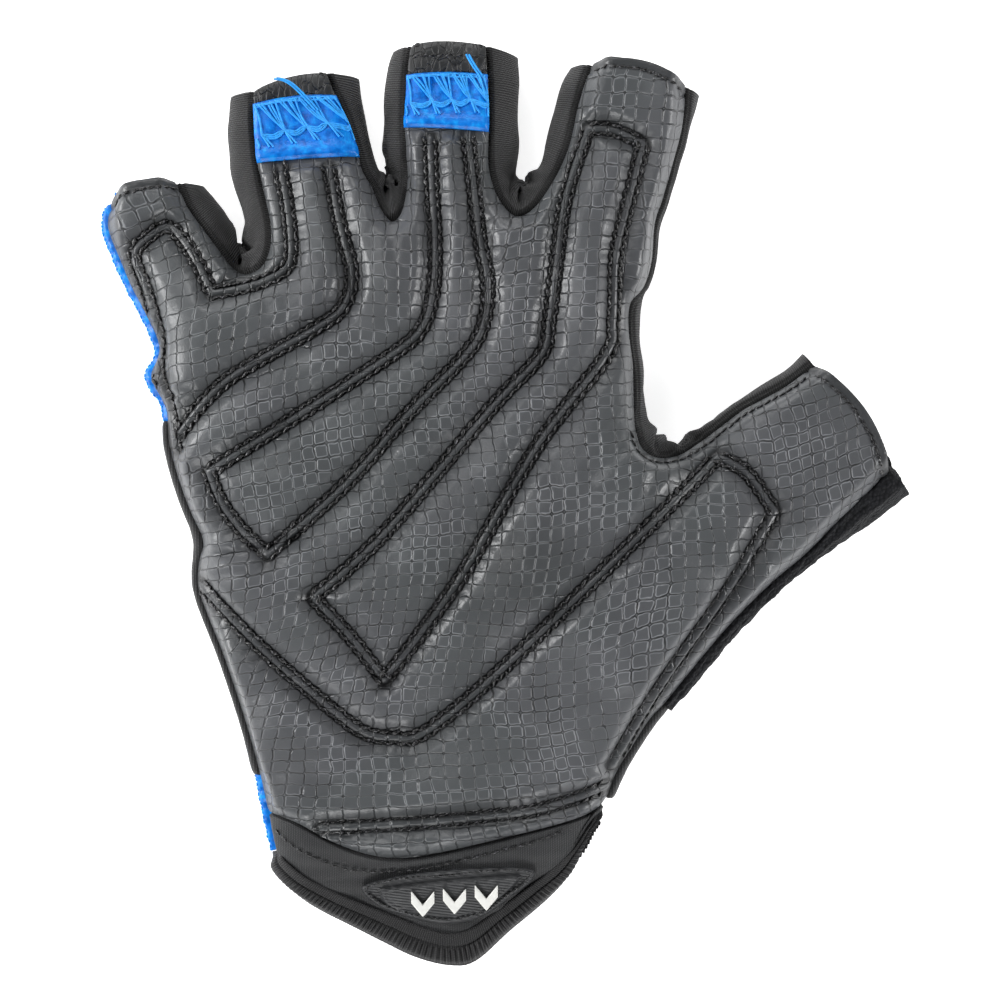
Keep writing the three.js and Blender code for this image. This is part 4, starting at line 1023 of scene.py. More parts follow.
# Painted glints: small light spots in the black thread's colour
thread_painted_glints = ramped(tree, noisy(tree, 0.5, 2.0), 0.56, 0.68, 0.6, 22.0)
toned(tree, shader, THREAD_BLACK, thread_painted_glints)
bumped(tree, shader, (thread_fuzz, 0.0001))
shader.inputs["Specular IOR Level"].default_value = 0.6
for stitches in (palm_stitches, cross_stitches, hem_stitches):
    dress(stitches, thread)


# Strips between the fingers. Black knitted gussets sewn to the fronts of two fingers, running
# down one side of each and up the other; the one by the thumb runs round its crotch.
def bent_sheet(columns, rows, shape):
    """A grid bent by shape(u, v), u and v from 0 to 1, and those two numbers for each vertex."""
    form = bmesh.new()
    bmesh.ops.create_grid(form, x_segments=columns, y_segments=rows, size=0.5)
    spots = flat_places(form.verts)
    spots = (spots - spots.min(0)) / (spots.max(0) - spots.min(0))
    at, facing = shape(spots[:, 0], spots[:, 1])
    lay(form, at)
    form.verts.ensure_lookup_table()
    form.normal_update()
    agree = sum(face.normal.dot(Vector(facing[face.verts[0].index])) for face in form.faces)
    if agree < 0:
        bmesh.ops.reverse_faces(form, faces=form.faces[:])
    return form, spots


TURN_AT = 0.62                   # share of a strip's width where it turns under the glove


def strip_shape(side, first, last, relief, reach=1.0, under_width=4.6):
    """A strip from the leather's edge over the outline to the seam beneath."""
    def shape(u, v):
        rows = even_rows(side, first, last, u)
        inner, edge = stations(side, rows)
        outward = unit(edge - inner)
        edge = inner + (edge - inner) * reach
        start = inner - outward * TUCK
        over = np.clip(1 - v / TURN_AT, 0, 1)[:, None] ** 2
        under = np.clip((v - TURN_AT) / (1 - TURN_AT), 0, 1)[:, None] ** 2
        spots = edge + (start - edge) * over - outward * under_width * under
        at, facing = skin(spots, False, outward)
        at_below, facing_below = skin(spots, True, outward)
        below = (v > TURN_AT)[:, None]
        at, facing = np.where(below, at_below, at), np.where(below, facing_below, facing)
        return at + facing * relief(rows, u, v, spots)[:, None], facing
    return shape


def tucked(spots, edge=LEATHER_SIDES, depth=1.75):
    """How far cloth sinks to run beneath an edge of the leather."""
    past_edge = nearest(spots, edge)["gap"] * np.where(inside_of(spots, leather_outline), 1, -1)
    return -depth * smooth_step((past_edge + 0.75) / 0.7)


def crotch_folds(middle, seed):
    """Soft folds that gather towards the bottom of a crotch."""
    def relief(rows, u, v, spots):
        near_crotch = bell(rows, middle, 1.9)
        fold = np.sin(v * 10 + rows * 3.1 + 4 * roughly(spots, 3.5, seed))
        soft = roughly(spots, 6, seed + 5) * 0.4
        clear = smooth_step((v - 0.12) / 0.2) * smooth_step((1 - v) / 0.3)
        far = nearest(spots, LEATHER_SIDES)["gap"] * (v < TURN_AT)
        seam = -0.55 * bell(far, 0.95, 0.24) * (v > 0.14)
        beneath_back = -0.9 * smooth_step((v - 0.8) / 0.12)
        return (fold * 1.3 * near_crotch + soft) * clear + seam + tucked(spots) + beneath_back
    return relief


# Fine ribs of a knit: lines across a band, each thread a little uneven
rib_group, rib_in, rib_out = new_group(
    "knit_ribs", {"Along": 0.0, "Across": 0.0, "Pitch": 0.45}, ["Rib", "Loop"]
)
rib_phase = reckon(rib_group, "DIVIDE", rib_in["Along"], rib_in["Pitch"])
loop_phase = reckon(rib_group, "DIVIDE", rib_in["Across"], rib_in["Pitch"])
rib_turn = product(rib_group, rib_phase, 2 * math.pi)
loop_turn = product(rib_group, loop_phase, 2 * math.pi)
loop_lean = reckon(rib_group, "ADD", loop_turn, product(rib_group, rib_turn, 0.5))
rib_wave = reckon(rib_group, "MULTIPLY_ADD", reckon(rib_group, "SINE", rib_turn), 0.5, 0.5)
loop_wave = reckon(rib_group, "MULTIPLY_ADD", reckon(rib_group, "SINE", loop_lean), 0.5, 0.5)
feed(rib_group, rib_out["Rib"], rib_wave)
feed(rib_group, rib_out["Loop"], product(rib_group, rib_wave, loop_wave))

KNIT_BLACK = (0.036, 0.036, 0.037)


def cloth_material(name, colour, pitch, rib_share, roughness, depth, beside=None):
    """Cloth of fine ribs: painted highlight on the thread crowns, painted shade between, a soft
    sheen and slight fading.
    """
    made, tree, shader = new_material(name, colour, roughness)
    along, across = map_of(tree, "weave")
    ribs = use_group(tree, rib_group, Along=along, Across=across, Pitch=pitch)
    height = reckon(tree, "MULTIPLY_ADD", ribs["Loop"], 1 - rib_share,
                    product(tree, ribs["Rib"], rib_share))
    fading = reckon(tree, "MULTIPLY_ADD", noisy(tree, 9.0, 4.0), 0.7, 0.62)
    # Painted highlight on the rib crowns and painted shade between the ribs
    rib_crown_shading = reckon(tree, "MULTIPLY_ADD", height, 1.5, 0.3)
    tone = product(tree, fading, rib_crown_shading)
    if beside:
        # Painted shadow along the leather's edge and painted shade in the fold line a millimetre
        # from it
        gap = value_of(tree, beside)
        fold = reckon(tree, "ABSOLUTE", reckon(tree, "SUBTRACT", gap, 1.0))
        tone = product(tree, tone, ramped(tree, gap, 0.2, 1.5, 0.2, 1.0),
                       ramped(tree, fold, 0.05, 0.3, 0.35, 1.0))
    toned(tree, shader, colour, tone)
    bumped(tree, shader, (noisy(tree, 0.3, 2.0), 0.00004), (height, depth))
    shader.inputs["Specular IOR Level"].default_value = 0.25
    shader.inputs["Sheen Weight"].default_value = 0.12
    shader.inputs["Sheen Roughness"].default_value = 0.5
    return made


knit = cloth_material("black_knit", KNIT_BLACK, pitch=0.46, rib_share=0.75, roughness=0.75,
                      depth=0.0002, beside="leather_gap")
STRIP_CELL = 0.5
STRIP_WIDTH = 11.0
# last row of each strip and the row at the bottom of its crotch
STRIPS = {
    "little_ring": (12, 5), "ring_middle": (14, 7), "middle_index": (14, 7), "index_thumb": (20, 13),
}
for number, (strip_name, (last_row, crotch_row)) in enumerate(STRIPS.items()):
    strip_length = run_along(side_line(strip_name, 0, last_row))[-1]
    folds = crotch_folds(crotch_row, number * 7.3)
    strip_form, strip_uv = bent_sheet(int(strip_length / STRIP_CELL), 34, strip_shape(
        SIDES[strip_name], 0, last_row, folds))
    strip = write_piece(f"{strip_name}_gusset", strip_form)
    write_map(strip, "weave", strip_uv * (strip_length, STRIP_WIDTH))
    strip_flat = flat_places(strip.data.vertices) / MM
    write_values(strip, "leather_gap", nearest(strip_flat, LEATHER_SIDES)["gap"])
    dress(strip, knit, f"{strip_name}_strip", 1.0)


# Back of the glove. Plain black stretch fabric that lies on the table, with the backs of the
# fingers, sewn to the strips and wrapped up to the leather along the palm's two sides.
def refined_copy(name, node, levels, grow, cuts=0):
    """A solid's loose triangles merged, divided and rounded into soft cloth."""
    form = bmesh.new()
    form.from_mesh(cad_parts[node].data)
    bmesh.ops.remove_doubles(form, verts=form.verts[:], dist=0.000001)
    form.normal_update()
    for vert in form.verts:
        vert.co += Vector((vert.normal.x, vert.normal.y, 0)) * grow
    if cuts:
        bmesh.ops.subdivide_edges(form, edges=form.edges[:], cuts=cuts, use_grid_fill=True)
    piece = write_piece(name, form)
    if levels:
        rounding = piece.modifiers.new("rounding", "SUBSURF")
        rounding.levels = levels
        rounding.render_levels = levels
    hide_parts(node)
    return piece


back = refined_copy("back_fabric_panel", "back_panel", levels=2, grow=0.0006)
write_map(back, "weave", flat_places(back.data.vertices) / MM)
stretch = cloth_material("black_stretch", (0.0165, 0.0165, 0.0175), pitch=0.6, rib_share=0.4,
                         roughness=0.85, depth=0.0001)
dress(back, stretch)

# Back of the thumb. Black terry for wiping the face, its loops standing at the outer side
# where it wraps up to the leather.
terry_back = refined_copy("thumb_terry", "thumb_back", levels=0, grow=0.0012, cuts=5)
terry_mesh = terry_back.data
terry_spots = np.array([vert.co[:] for vert in terry_mesh.vertices])
terry_ways = np.array([normal.vector[:] for normal in terry_mesh.vertex_normals])
loops = np.array([
    noise.noise(spot * 1400) * 0.4 + noise.noise(spot * 520 + Vector((3, 1, 7))) * 0.3
    for spot in (Vector(place_at) for place_at in terry_spots)
])
resting = terry_spots[:, 2] < 0.0015
loops = np.where(resting, np.minimum(loops, 0) * 0.2, loops)
terry_moved = terry_spots + terry_ways * loops[:, None] * MM
terry_moved[:, 2] = np.maximum(terry_moved[:, 2], 0)
terry_mesh.vertices.foreach_set("co", terry_moved.astype(np.float32).ravel())
TERRY_BLACK = (0.0135, 0.014, 0.016)
terry, tree, shader = new_material("black_terry", TERRY_BLACK, 0.95)
terry_loops = tree.nodes.new("ShaderNodeTexVoronoi")
terry_loops.inputs["Scale"].default_value = 1500
tree.links.new(object_places(tree), terry_loops.inputs["Vector"])
terry_tone = reckon(tree, "MULTIPLY_ADD", terry_loops.outputs["Distance"], -1.1, 1.35)
toned(tree, shader, TERRY_BLACK, terry_tone)
terry_height = reckon(tree, "SUBTRACT", 1.0, terry_loops.outputs["Distance"])
bumped(tree, shader, (terry_height, 0.0003))
shader.inputs["Sheen Weight"].default_value = 0.05
shader.inputs["Specular IOR Level"].default_value = 0.12
dress(terry_back, terry)


# Hems of the two middle fingers. Above each tab the leather ends in a turned hem of thin black
# leather, finely cracked, rolled over the edge and sewn down.
def finger_points(name, across, left_share, right_share):
    """Places on a finger's front, across it and at shares of the way down its two sides."""
    corners = []
    ends = []
    for (rows, first, last), share in zip(FINGERS[name], (left_share, right_share)):
        inner, edge = stations(rows, even_rows(rows, first, last, share))
        corners.append(inner + unit(inner - edge) * EDGE_GAP)
        ends.append(stations(rows, [first, last])[0])
    outward = unit((ends[0] + ends[1])[0] - (ends[0] + ends[1])[1])
    share = ((left_share + right_share) / 2)[:, None]
    across = across[:, None]
    bow = DIGITS[name][2] * 4 * across * (1 - across) * (1 - share) ** 2
    return corners[0] * (1 - across) + corners[1] * across + outward * bow


def finger_band(name, lift, relief, low_shares, high_shares):
    """A band across a finger, between two pairs of shares down its sides."""
    def shape(u, v):
        left = low_shares[0] + (high_shares[0] - low_shares[0]) * v
        right = low_shares[1] + (high_shares[1] - low_shares[1]) * v
        spots = finger_points(name, u, left, right)
        at, facing = skin(spots)
        return at + facing * (lift + relief(u, v, spots))[:, None], facing
    return shape


def hem_relief(u, v, spots):
    rolled = 0.25 * np.sin(np.pi * np.clip(v * 1.1, 0, 1)) - 0.35 * bell(v, 0, 0.12)
    return rolled + roughly(spots, 2.2, 4.4) * 0.14


HEM_BLACK = (0.021, 0.022, 0.023)
hem_leather, tree, shader = new_material("black_hem", HEM_BLACK, 0.62)
hem_wear = noisy(tree, 3.0, 5.0)
hem_cracks = tree.nodes.new("ShaderNodeTexVoronoi")
hem_cracks.feature = "DISTANCE_TO_EDGE"
hem_cracks.inputs["Scale"].default_value = 760
hem_stretch = tree.nodes.new("ShaderNodeMapping")
hem_stretch.inputs["Scale"].default_value = (1.0, 0.5, 0.4)
tree.links.new(object_places(tree), hem_stretch.inputs["Vector"])
tree.links.new(hem_stretch.outputs["Vector"], hem_cracks.inputs["Vector"])
hem_grain = ramped(tree, hem_cracks.outputs["Distance"], 0.0, 0.09)
hem_rim_far = reckon(tree, "SUBTRACT", hem_cracks.outputs["Distance"], 0.13)
hem_edge = ramped(tree, reckon(tree, "ABSOLUTE", hem_rim_far), 0.05, 0.0)
hem_base = reckon(tree, "MULTIPLY_ADD", hem_grain, 0.5, 0.5)
hem_tone = reckon(tree, "MULTIPLY_ADD", hem_edge, product(tree, hem_wear, 1.6), hem_base)
toned(tree, shader, HEM_BLACK, hem_tone)
hem_gloss = reckon(tree, "MULTIPLY_ADD", hem_wear, 0.3, 0.32)
feed(tree, shader.inputs["Roughness"], hem_gloss)
bumped(tree, shader, (hem_wear, 0.0003), (hem_grain, 0.00022))
for hem_name, end_shares in HEM_SHARES.items():
    hem_form, _ = bent_sheet(44, 14, finger_band(
        hem_name, 0.0, hem_relief, (0.0, 0.0), end_shares))
    hem = write_piece(f"{hem_name}_finger_hem", hem_form)
    dress(hem, hem_leather, f"{hem_name}_hem", LEATHER_WALL)

# Finger tabs. Soft blue rubber sewn over the leather: the lower edge is smooth, the upper part
# lies under loose blue overlock threads that slant down to a chain of loops.
TAB_LIFT = 1.15
TAB_WALL = 0.75
# u and v of the knots of the chain of loops
KNOTS = [(0.08, 0.55), (0.32, 0.53), (0.56, 0.50), (0.79, 0.47), (1.0, 0.52)]
# u, v and lift in millimetres of the loose ends that stand up from each tab
LOOSE_ENDS = {
    "ring": [(0.30, -0.62, 1.2), (0.42, -0.3, 1.6), (0.58, -0.05, 0.9), (0.70, 0.25, 0.5)],
    "middle": [(0.74, -0.3, 0.9), (0.82, -0.1, 0.8), (0.93, 0.1, 0.5), (0.95, 0.4, 0.4)],
}


def tab_relief(u, v, spots):
    rim = np.minimum(np.minimum(u, 1 - u) * 16, np.minimum(v, 1 - v) * 11)
    soft = -0.55 * (1 - smooth_step(rim / 0.8))
    roll = 0.32 * bell(v, 0.86, 0.11)
    hollow = 0.35 * np.sin(np.pi * np.clip((v - 0.06) / 0.5, 0, 1)) * (0.6 + 0.4 * np.sin(u * 26))
    return soft + roll - hollow + roughly(spots, 4, 2.2) * 0.2


def curve_pieces(name, paths, radius):
    """Threads laid along paths, given in metres, as one mesh of thin round tubes."""
    data = bpy.data.curves.new(name, "CURVE")
    data.dimensions = "3D"
    data.bevel_depth = radius
    data.bevel_resolution = 1
    data.resolution_u = 4
    data.use_fill_caps = True
    for path in paths:
        spline = data.splines.new("NURBS")
        spline.points.add(len(path) - 1)
        spline.points.foreach_set("co", np.column_stack([path, np.ones(len(path))]).ravel())
        spline.use_endpoint_u = True
        spline.order_u = 3
    drawn = bpy.data.objects.new(name, data)
    scene.collection.objects.link(drawn)
    bpy.context.view_layer.update()
    mesh = bpy.data.meshes.new_from_object(drawn.evaluated_get(
        bpy.context.evaluated_depsgraph_get()))
    bpy.data.objects.remove(drawn)
    bpy.data.curves.remove(data)
    mesh.shade_smooth()
    return add_piece(name, mesh)


RUBBER_BLUE = (0.001, 0.180, 0.680)
rubber, tree, shader = new_material("blue_rubber", RUBBER_BLUE, 0.36)
rubber_relief_and_shading = noisy(tree, 1.6, 3.0)
# Painted shade and painted highlights: darker and lighter blue patches spread by noise
rubber_shaded_colour = mixed(tree, ramped(tree, rubber_relief_and_shading, 0.32, 0.5),
                      (0.001, 0.110, 0.480), RUBBER_BLUE)
rubber_shaded_colour = mixed(tree, ramped(tree, rubber_relief_and_shading, 0.5, 0.72),
                      rubber_shaded_colour, (0.004, 0.320, 0.860))
feed(tree, shader.inputs["Base Color"], rubber_shaded_colour)
feed(tree, shader.inputs["Roughness"], reckon(
    tree, "MULTIPLY_ADD", rubber_relief_and_shading, 0.3, 0.2))
shader.inputs["Specular IOR Level"].default_value = 0.32
bumped(tree, shader, (rubber_relief_and_shading, 0.0001), (noisy(tree, 0.4), 0.00005))

YARN_BLUE = (0.020, 0.350, 0.900)
yarn, tree, shader = new_material("blue_yarn", YARN_BLUE, 0.5)
yarn_tone = reckon(tree, "MULTIPLY_ADD", noisy(tree, 0.8, 3.0), 1.0, 0.5)
toned(tree, shader, YARN_BLUE, yarn_tone)
bumped(tree, shader, (noisy(tree, 0.15, 2.0), 0.00008))

THREAD_RADIUS = 0.00021
for tab_name, end_shares in TAB_SHARES.items():
    tab_shape = finger_band(tab_name, TAB_LIFT, tab_relief, HEM_SHARES[tab_name], end_shares)
    tab_form, _ = bent_sheet(72, 44, tab_shape)
    tab = write_piece(f"{tab_name}_finger_tab", tab_form)
    dress(tab, rubber, f"{tab_name}_tab", TAB_WALL)
    chance = np.random.default_rng(5 if tab_name == "ring" else 6)
    drawn_paths = []
    for number, (u, v) in enumerate(KNOTS):
        for strand in (0.24, 0.21, 0.14, 0.11, 0.05):
            top = u - strand + chance.normal(0, 0.006)
            sag = chance.normal(0, 0.008)
            if top > 0.01:
                drawn_paths.append([
                    (top, 0.04), ((top * 2 + u) / 3 + sag, 0.2), ((top + u * 2) / 3 + sag, 0.36),
                    (u + chance.normal(0, 0.012), v),
                ])
        if number + 1 < len(KNOTS):
            to_u, to_v = KNOTS[number + 1]
            for drop in (0.07, 0.04, 0.01):
                drawn_paths.append([
                    (u, v), (u + 0.05, v + drop), ((u + to_u) / 2, v + drop + 0.02),
                    (to_u - 0.05, to_v + drop), (to_u, to_v),
                ])
        for tail in (0.06, 0.10):
            drawn_paths.append([(u, v), (u + tail * 0.4, v + 0.08), (u + tail, v + 0.22)])
    drawn_paths.append([(0.02, 0.05), (0.3, 0.07), (0.6, 0.04), (0.97, 0.05)])
    drawn_paths.append([(0.03, 0.6), (0.05, 0.72), (0.04, 0.78)])
    drawn_paths.append([(0.02, 0.09), (0.3, 0.05), (0.6, 0.09), (0.97, 0.07)])
    tab_paths = []
    for path in drawn_paths:
        fine = np.clip(blend_rows(path, np.linspace(0, len(path) - 1, 4 * len(path))), 0.012, 0.985)
        at, facing = tab_shape(fine[:, 0], fine[:, 1])
        stand = 0.16 + np.abs(chance.normal(0, 0.08))
        tab_paths.append((at + facing * stand) * MM)
    ends = np.array(LOOSE_ENDS[tab_name])
    for shift in (0.0, 0.035):
        at, facing = tab_shape(ends[:, 0] + shift, ends[:, 1])
        tab_paths.append((at + facing * ends[:, 2:3]) * MM)
    threads = curve_pieces(f"{tab_name}_tab_threads", tab_paths, THREAD_RADIUS)
    dress(threads, yarn)

# Side trims. Blue tape folded over the edge beside the little finger and beside the cuff, its
# overlock threads standing out rough along the rim.
palm_side_rows = even_rows(SIDES["little"], KNUCKLE_ROW, WRIST_ROW, np.linspace(0, 1, 31))
TRIMS = {
    "little_side_trim": (0, palm_side_rows[8] - 0.03),
    "wrist_side_trim": (palm_side_rows[28] + 0.03, 20),
}
TRIM_REACH = 0.7
TRIM_UNDER = 2.0
OVERLOCK_PITCH = 0.95
# v of the four turns of one overlock stitch
OVERLOCK_SWING = (0.45, 0.56, 0.66, 0.54)


def trim_relief(rows, u, v, spots):
    beneath_cuff = smooth_step((0.42 - v) / 0.15) * (rows > WRIST_ROW - 0.3)
    return roughly(spots, 1.6, 9.1) * 0.3 + tucked(spots) * 0.8 - 1.3 * beneath_cuff


for trim_name, (first, last) in TRIMS.items():
    trim_length = run_along(side_line("little", first, last))[-1]
    trim_shape = strip_shape(SIDES["little"], first, last, trim_relief, TRIM_REACH, TRIM_UNDER)
    trim_form, _ = bent_sheet(int(trim_length / 0.35), 20, trim_shape)
    trim = write_piece(trim_name + "_tape", trim_form)
    dress(trim, rubber, trim_name, 0.8)
    chance = np.random.default_rng(21)
    wraps = np.linspace(0, 1, int(trim_length / OVERLOCK_PITCH) * 4 + 1)
    swing = np.array(OVERLOCK_SWING)[np.arange(len(wraps)) % 4]
    swing = np.clip(swing + chance.normal(0, 0.02, len(wraps)), 0.4, 0.7)
    spread = np.clip(wraps + chance.normal(0, 0.1, len(wraps)) / trim_length, 0, 1)
    at, facing = trim_shape(spread, swing)
    overlock = curve_pieces(trim_name + "_threads", [(at + facing * 0.1) * MM], 0.00016)
    dress(overlock, yarn)

# Cuff. Smooth black stretch fabric that hangs from the leather's hem, with one row of stitches
# just under the hem.
CUFF_WALL = 1.1
# x y of the binding's inner side and of its rim, in percent
BINDING = [
    (22.4, 12.7, 21.4, 12.3), (23.4, 11.4, 22.0, 10.2), (25.9, 9.6, 24.3, 8.1),
    (29.7, 7.8, 28.0, 6.0), (33.6, 6.4, 31.9, 4.2), (37.3, 5.1, 35.6, 2.5), (40.6, 3.9, 39.4, 0.9),
    (43.5, 3.3, 43.7, 0.0), (46.2, 3.8, 46.9, 0.5), (49.4, 5.8, 51.1, 3.8), (53.4, 8.5, 55.4, 7.1),
    (56.8, 10.8, 58.7, 10.2), (59.0, 12.9, 60.2, 13.5), (60.6, 15.1, 61.7, 15.9),
    (62.1, 16.9, 62.9, 17.3),
]
cuff_left = side_line("little", WRIST_ROW + 0.05, 20)
cuff_right = side_line("thumb", THUMB_WRIST_ROW + 0.05, 15)
CUFF_TOP = HEM_LINE + (0, TUCK)
CUFF_BOTTOM = drawn_line(BINDING, 85)


def share_of(line, share):
    run = run_along(line)
    return point_on(line, run, share * run[-1])


def cuff_shape(u, v):
    """A patch between the leather's hem, the binding and the two sides."""
    top, bottom = share_of(CUFF_TOP, u), share_of(CUFF_BOTTOM, u)
    left, right = share_of(cuff_left, v), share_of(cuff_right, v)
    u, v = u[:, None], v[:, None]
    spots = (1 - v) * top + v * bottom + (1 - u) * left + u * right
    spots -= (1 - v) * ((1 - u) * cuff_left[0] + u * cuff_right[0])
    spots -= v * ((1 - u) * CUFF_BOTTOM[0] + u * CUFF_BOTTOM[-1])
    at, facing = skin(spots)
    waves = 0.5 * roughly(spots, 9, 5.5) + 0.18 * roughly(spots * (0.5, 1.6), 3.5, 6.6)
    waves *= smooth_step(nearest(spots, HEM_SEGMENTS)["gap"] / 3)
    return at + facing * (tucked(spots, HEM_SEGMENTS, 1.7) + waves)[:, None], facing


cuff_form, _ = bent_sheet(150, 60, cuff_shape)
cuff = write_piece("cuff_fabric_panel", cuff_form)
write_map(cuff, "weave", flat_places(cuff.data.vertices) / MM)
cuff_cloth = cloth_material("black_cuff_cloth", (0.038, 0.039, 0.041), pitch=0.35, rib_share=0.3,
                            roughness=0.48, depth=0.00005)
dress(cuff, cuff_cloth, "cuff", CUFF_WALL)
CUFF_ROW = [
    (22.3, 15.0), (25.4, 12.9), (29.8, 11.1), (34.2, 10.5), (40.3, 10.8), (46.2, 12.0),
    (53.7, 13.7), (58.1, 15.2),
]
cuff_row = row_places(drawn_line(CUFF_ROW, 60), pitch=1.9)
cuff_laid = laid_rows([cuff_row], skin, slant=4, lift=0.35, seed=17)
cuff_stitches = strew("cuff_stitches", stitch_form(length=1.7, width=0.42), *cuff_laid)
dress(cuff_stitches, thread)

# Binding. Ribbed elastic folded over the cuff's edge: a smooth stitched tape inside, and a
# fatter band outside whose ribs run across it.
BINDING_RIB = 0.95
binding_length = run_along(CUFF_BOTTOM)[-1]


def binding_shape(u, v):
    inner, edge = stations(BINDING, even_rows(BINDING, 0, 14, u))
    start = inner - unit(edge - inner) * 0.5
    spots = start * (1 - v[:, None]) + edge * v[:, None]
    at, facing = skin(spots)
    band = smooth_step((v - 0.42) / 0.1) * (1 - 0.7 * smooth_step((v - 0.78) / 0.2))
    ends = smooth_step(np.minimum(u, 1 - u) / 0.03)
    ribs = 0.24 * np.cos(2 * math.pi * u * binding_length / BINDING_RIB) * band * ends
    swell = 0.5 + 0.45 * np.sin(np.pi * np.clip((v - 0.42) / 0.58, 0, 1)) * band
    swell -= 0.9 * smooth_step((v - 0.86) / 0.14) + 0.5 * bell(v, 0.43, 0.04)
    swell -= 0.25 * bell(v, 0, 0.05)
    ribs *= facing[:, 2] ** 3
    swell = swell * ends - 0.5 * (1 - ends)
    return at + facing * (swell + ribs + roughly(spots, 5, 7.7) * 0.2)[:, None], facing


binding_form, binding_uv = bent_sheet(760, 26, binding_shape)
binding = write_piece("cuff_edge_binding", binding_form)
write_map(binding, "weave", binding_uv * (binding_length, 6.0))
elastic = cloth_material("black_elastic", (0.022, 0.022, 0.023), pitch=0.42, rib_share=0.6,
                         roughness=0.7, depth=0.0001)
dress(binding, elastic, "cuff_binding", 2.0)

# Badge. A dark moulded rubber patch glued and stitched to the cuff: a raised rim, a sunken
# track of stitches and a raised three-sided panel in the middle.
BADGE_CELL = 0.26
BADGE_WALL = 0.8
BADGE = [
    (32.9, 8.4), (34.0, 9.3), (38.4, 10.2), (44.0, 10.8), (49.4, 11.0), (53.8, 10.8), (53.6, 9.4),
    (51.2, 7.8), (48.6, 6.0), (45.6, 4.9), (42.4, 4.7), (38.4, 5.5), (35.0, 6.7),
]
BADGE_PANEL = [
    (34.7, 8.2), (35.1, 8.7), (43.5, 9.6), (52.3, 10.2), (52.8, 9.8), (50.6, 7.8), (47.4, 5.7),
    (45.2, 4.9), (41.9, 4.8), (38.6, 5.5), (35.4, 6.8),
]


def closed_line(table_rows, count):
    rows = list(table_rows[-2:]) + list(table_rows) + list(table_rows[:3])
    return place(blend_rows(rows, np.linspace(2, len(table_rows) + 2, count + 1)))[:-1]


badge_outline = closed_line(BADGE, 120)
badge_centre = badge_outline.mean(0)
badge_panel_line = badge_centre + (closed_line(BADGE_PANEL, 120) - badge_centre) * 0.93
badge_rim = segments_of([closed(badge_outline)])
badge_step = segments_of([closed(badge_panel_line)])


def badge_at(spots):
    at, facing = skin(spots)
    rim = nearest(spots, badge_rim)["gap"]
    step = nearest(spots, badge_step)["gap"]
    raised = np.where(inside_of(spots, badge_panel_line), step, -step)
    relief = 1.45 - 0.6 * (1 - smooth_step(rim / 0.4)) - 0.5 * smooth_step((rim - 0.6) / 0.4)
    relief += 0.85 * smooth_step((raised + 0.1) / 0.4)
    relief -= 0.22 * bell(raised, 0.9, 0.14)
    return at + facing * relief[:, None], facing


badge_form = cut_sheet(badge_outline, BADGE_CELL)
badge_flat = flat_places(badge_form.verts)
lay(badge_form, badge_at(badge_flat)[0])
badge = write_piece("cuff_badge", badge_form)
write_map(badge, "weave", badge_flat)
BADGE_GREY = (0.024, 0.025, 0.027)
badge_rubber, tree, shader = new_material("badge_rubber", BADGE_GREY, 0.5)
badge_x, badge_y = map_of(tree, "weave")
badge_slope = reckon(tree, "MULTIPLY_ADD", badge_x, 0.12, badge_y)
badge_lines = reckon(tree, "SINE", product(tree, badge_slope, 11.0))
badge_scuff = noisy(tree, 2.5, 5.0)
badge_tone = reckon(tree, "MULTIPLY_ADD", badge_scuff, 1.2, 0.45)
toned(tree, shader, BADGE_GREY, badge_tone)
feed(tree, shader.inputs["Roughness"], reckon(
    tree, "MULTIPLY_ADD", badge_scuff, 0.3, 0.36))
bumped(tree, shader, (badge_lines, 0.00004), (noisy(tree, 0.35), 0.00005))
dress(badge, badge_rubber, "badge", BADGE_WALL)
badge_row = badge_outline + unit(badge_centre - badge_outline) * 1.15
badge_row = row_places(closed(badge_row), pitch=1.15)
badge_laid = laid_rows([badge_row], badge_at, slant=0, lift=0.12, seed=31)
badge_stitches = strew("badge_stitches", stitch_form(length=0.95, width=0.32), *badge_laid)
dress(badge_stitches, thread)

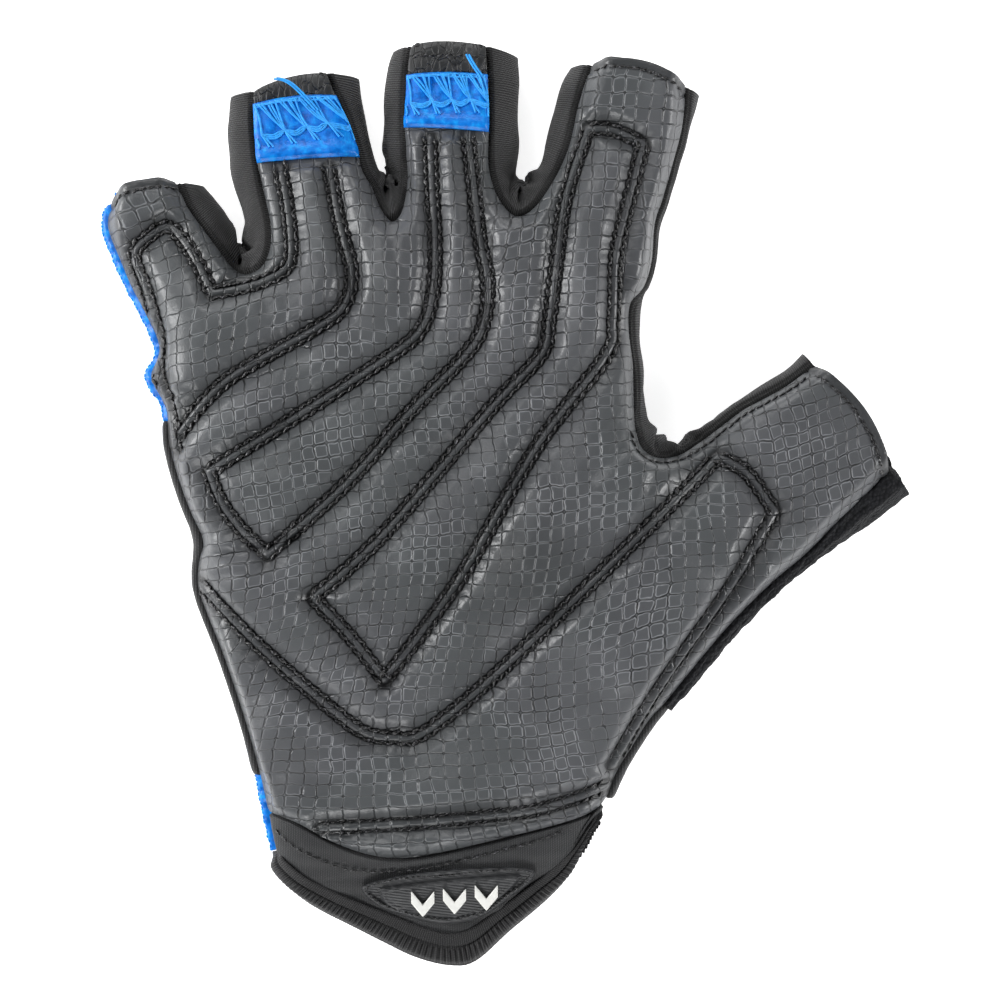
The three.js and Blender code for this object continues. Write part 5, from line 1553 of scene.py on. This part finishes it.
# Marks of the badge. Three plain chevrons of off-white rubber with rounded edges, moulded on the
# panel so that they stand about a millimetre proud of it.
MARK_PLACES = [(40.4, 7.0), (44.3, 7.3), (48.2, 7.7)]
MARK_WIDTH = 4.6
MARK_HEIGHT = 5.4
MARK_ARM = 2.5
MARK_FOOT = 1.75
MARK_TOP = 2.85
MARK_ROUNDING = 0.00025
MARK_WHITE = (0.74, 0.74, 0.71)
mark_rubber, tree, shader = new_material("mark_rubber", MARK_WHITE, 0.5)
mark_scuff = noisy(tree, 1.2, 5.0)
mark_tone = reckon(tree, "MULTIPLY_ADD", mark_scuff, 0.35, 0.8)
toned(tree, shader, MARK_WHITE, mark_tone)
bumped(tree, shader, (mark_scuff, 0.00006))
half_width, half_height = MARK_WIDTH / 2, MARK_HEIGHT / 2
MARK_CORNERS = np.array([
    (-half_width, half_height - MARK_ARM), (0, -half_height),
    (half_width, half_height - MARK_ARM), (half_width, half_height),
    (0, -half_height + MARK_ARM), (-half_width, half_height),
])
for number, mark_place in enumerate(MARK_PLACES):
    mark_form = bmesh.new()
    mark_verts = [
        mark_form.verts.new((*corner, 0)) for corner in MARK_CORNERS + place([mark_place])[0]
    ]
    for arm in ((0, 1, 4, 5), (1, 2, 3, 4)):
        mark_form.faces.new([mark_verts[k] for k in arm])
    bmesh.ops.subdivide_edges(mark_form, edges=mark_form.edges[:], cuts=3, use_grid_fill=True)
    raised = bmesh.ops.extrude_face_region(mark_form, geom=mark_form.faces[:])["geom"]
    top = {item for item in raised if isinstance(item, bmesh.types.BMVert)}
    seat, facing = skin(flat_places(mark_form.verts))
    lift = np.array([MARK_TOP if vert in top else MARK_FOOT for vert in mark_form.verts])
    lay(mark_form, seat + facing * lift[:, None])
    bmesh.ops.recalc_face_normals(mark_form, faces=mark_form.faces[:])
    sharp = [edge for edge in mark_form.edges if edge.calc_face_angle(0) > 0.7]
    bmesh.ops.bevel(mark_form, geom=sharp, offset=MARK_ROUNDING, segments=3, profile=0.5,
                    affect="EDGES", material=-1)
    mark = write_piece(f"badge_chevron_{number + 1}", mark_form)
    dress(mark, mark_rubber, f"badge_mark_{number + 1}")
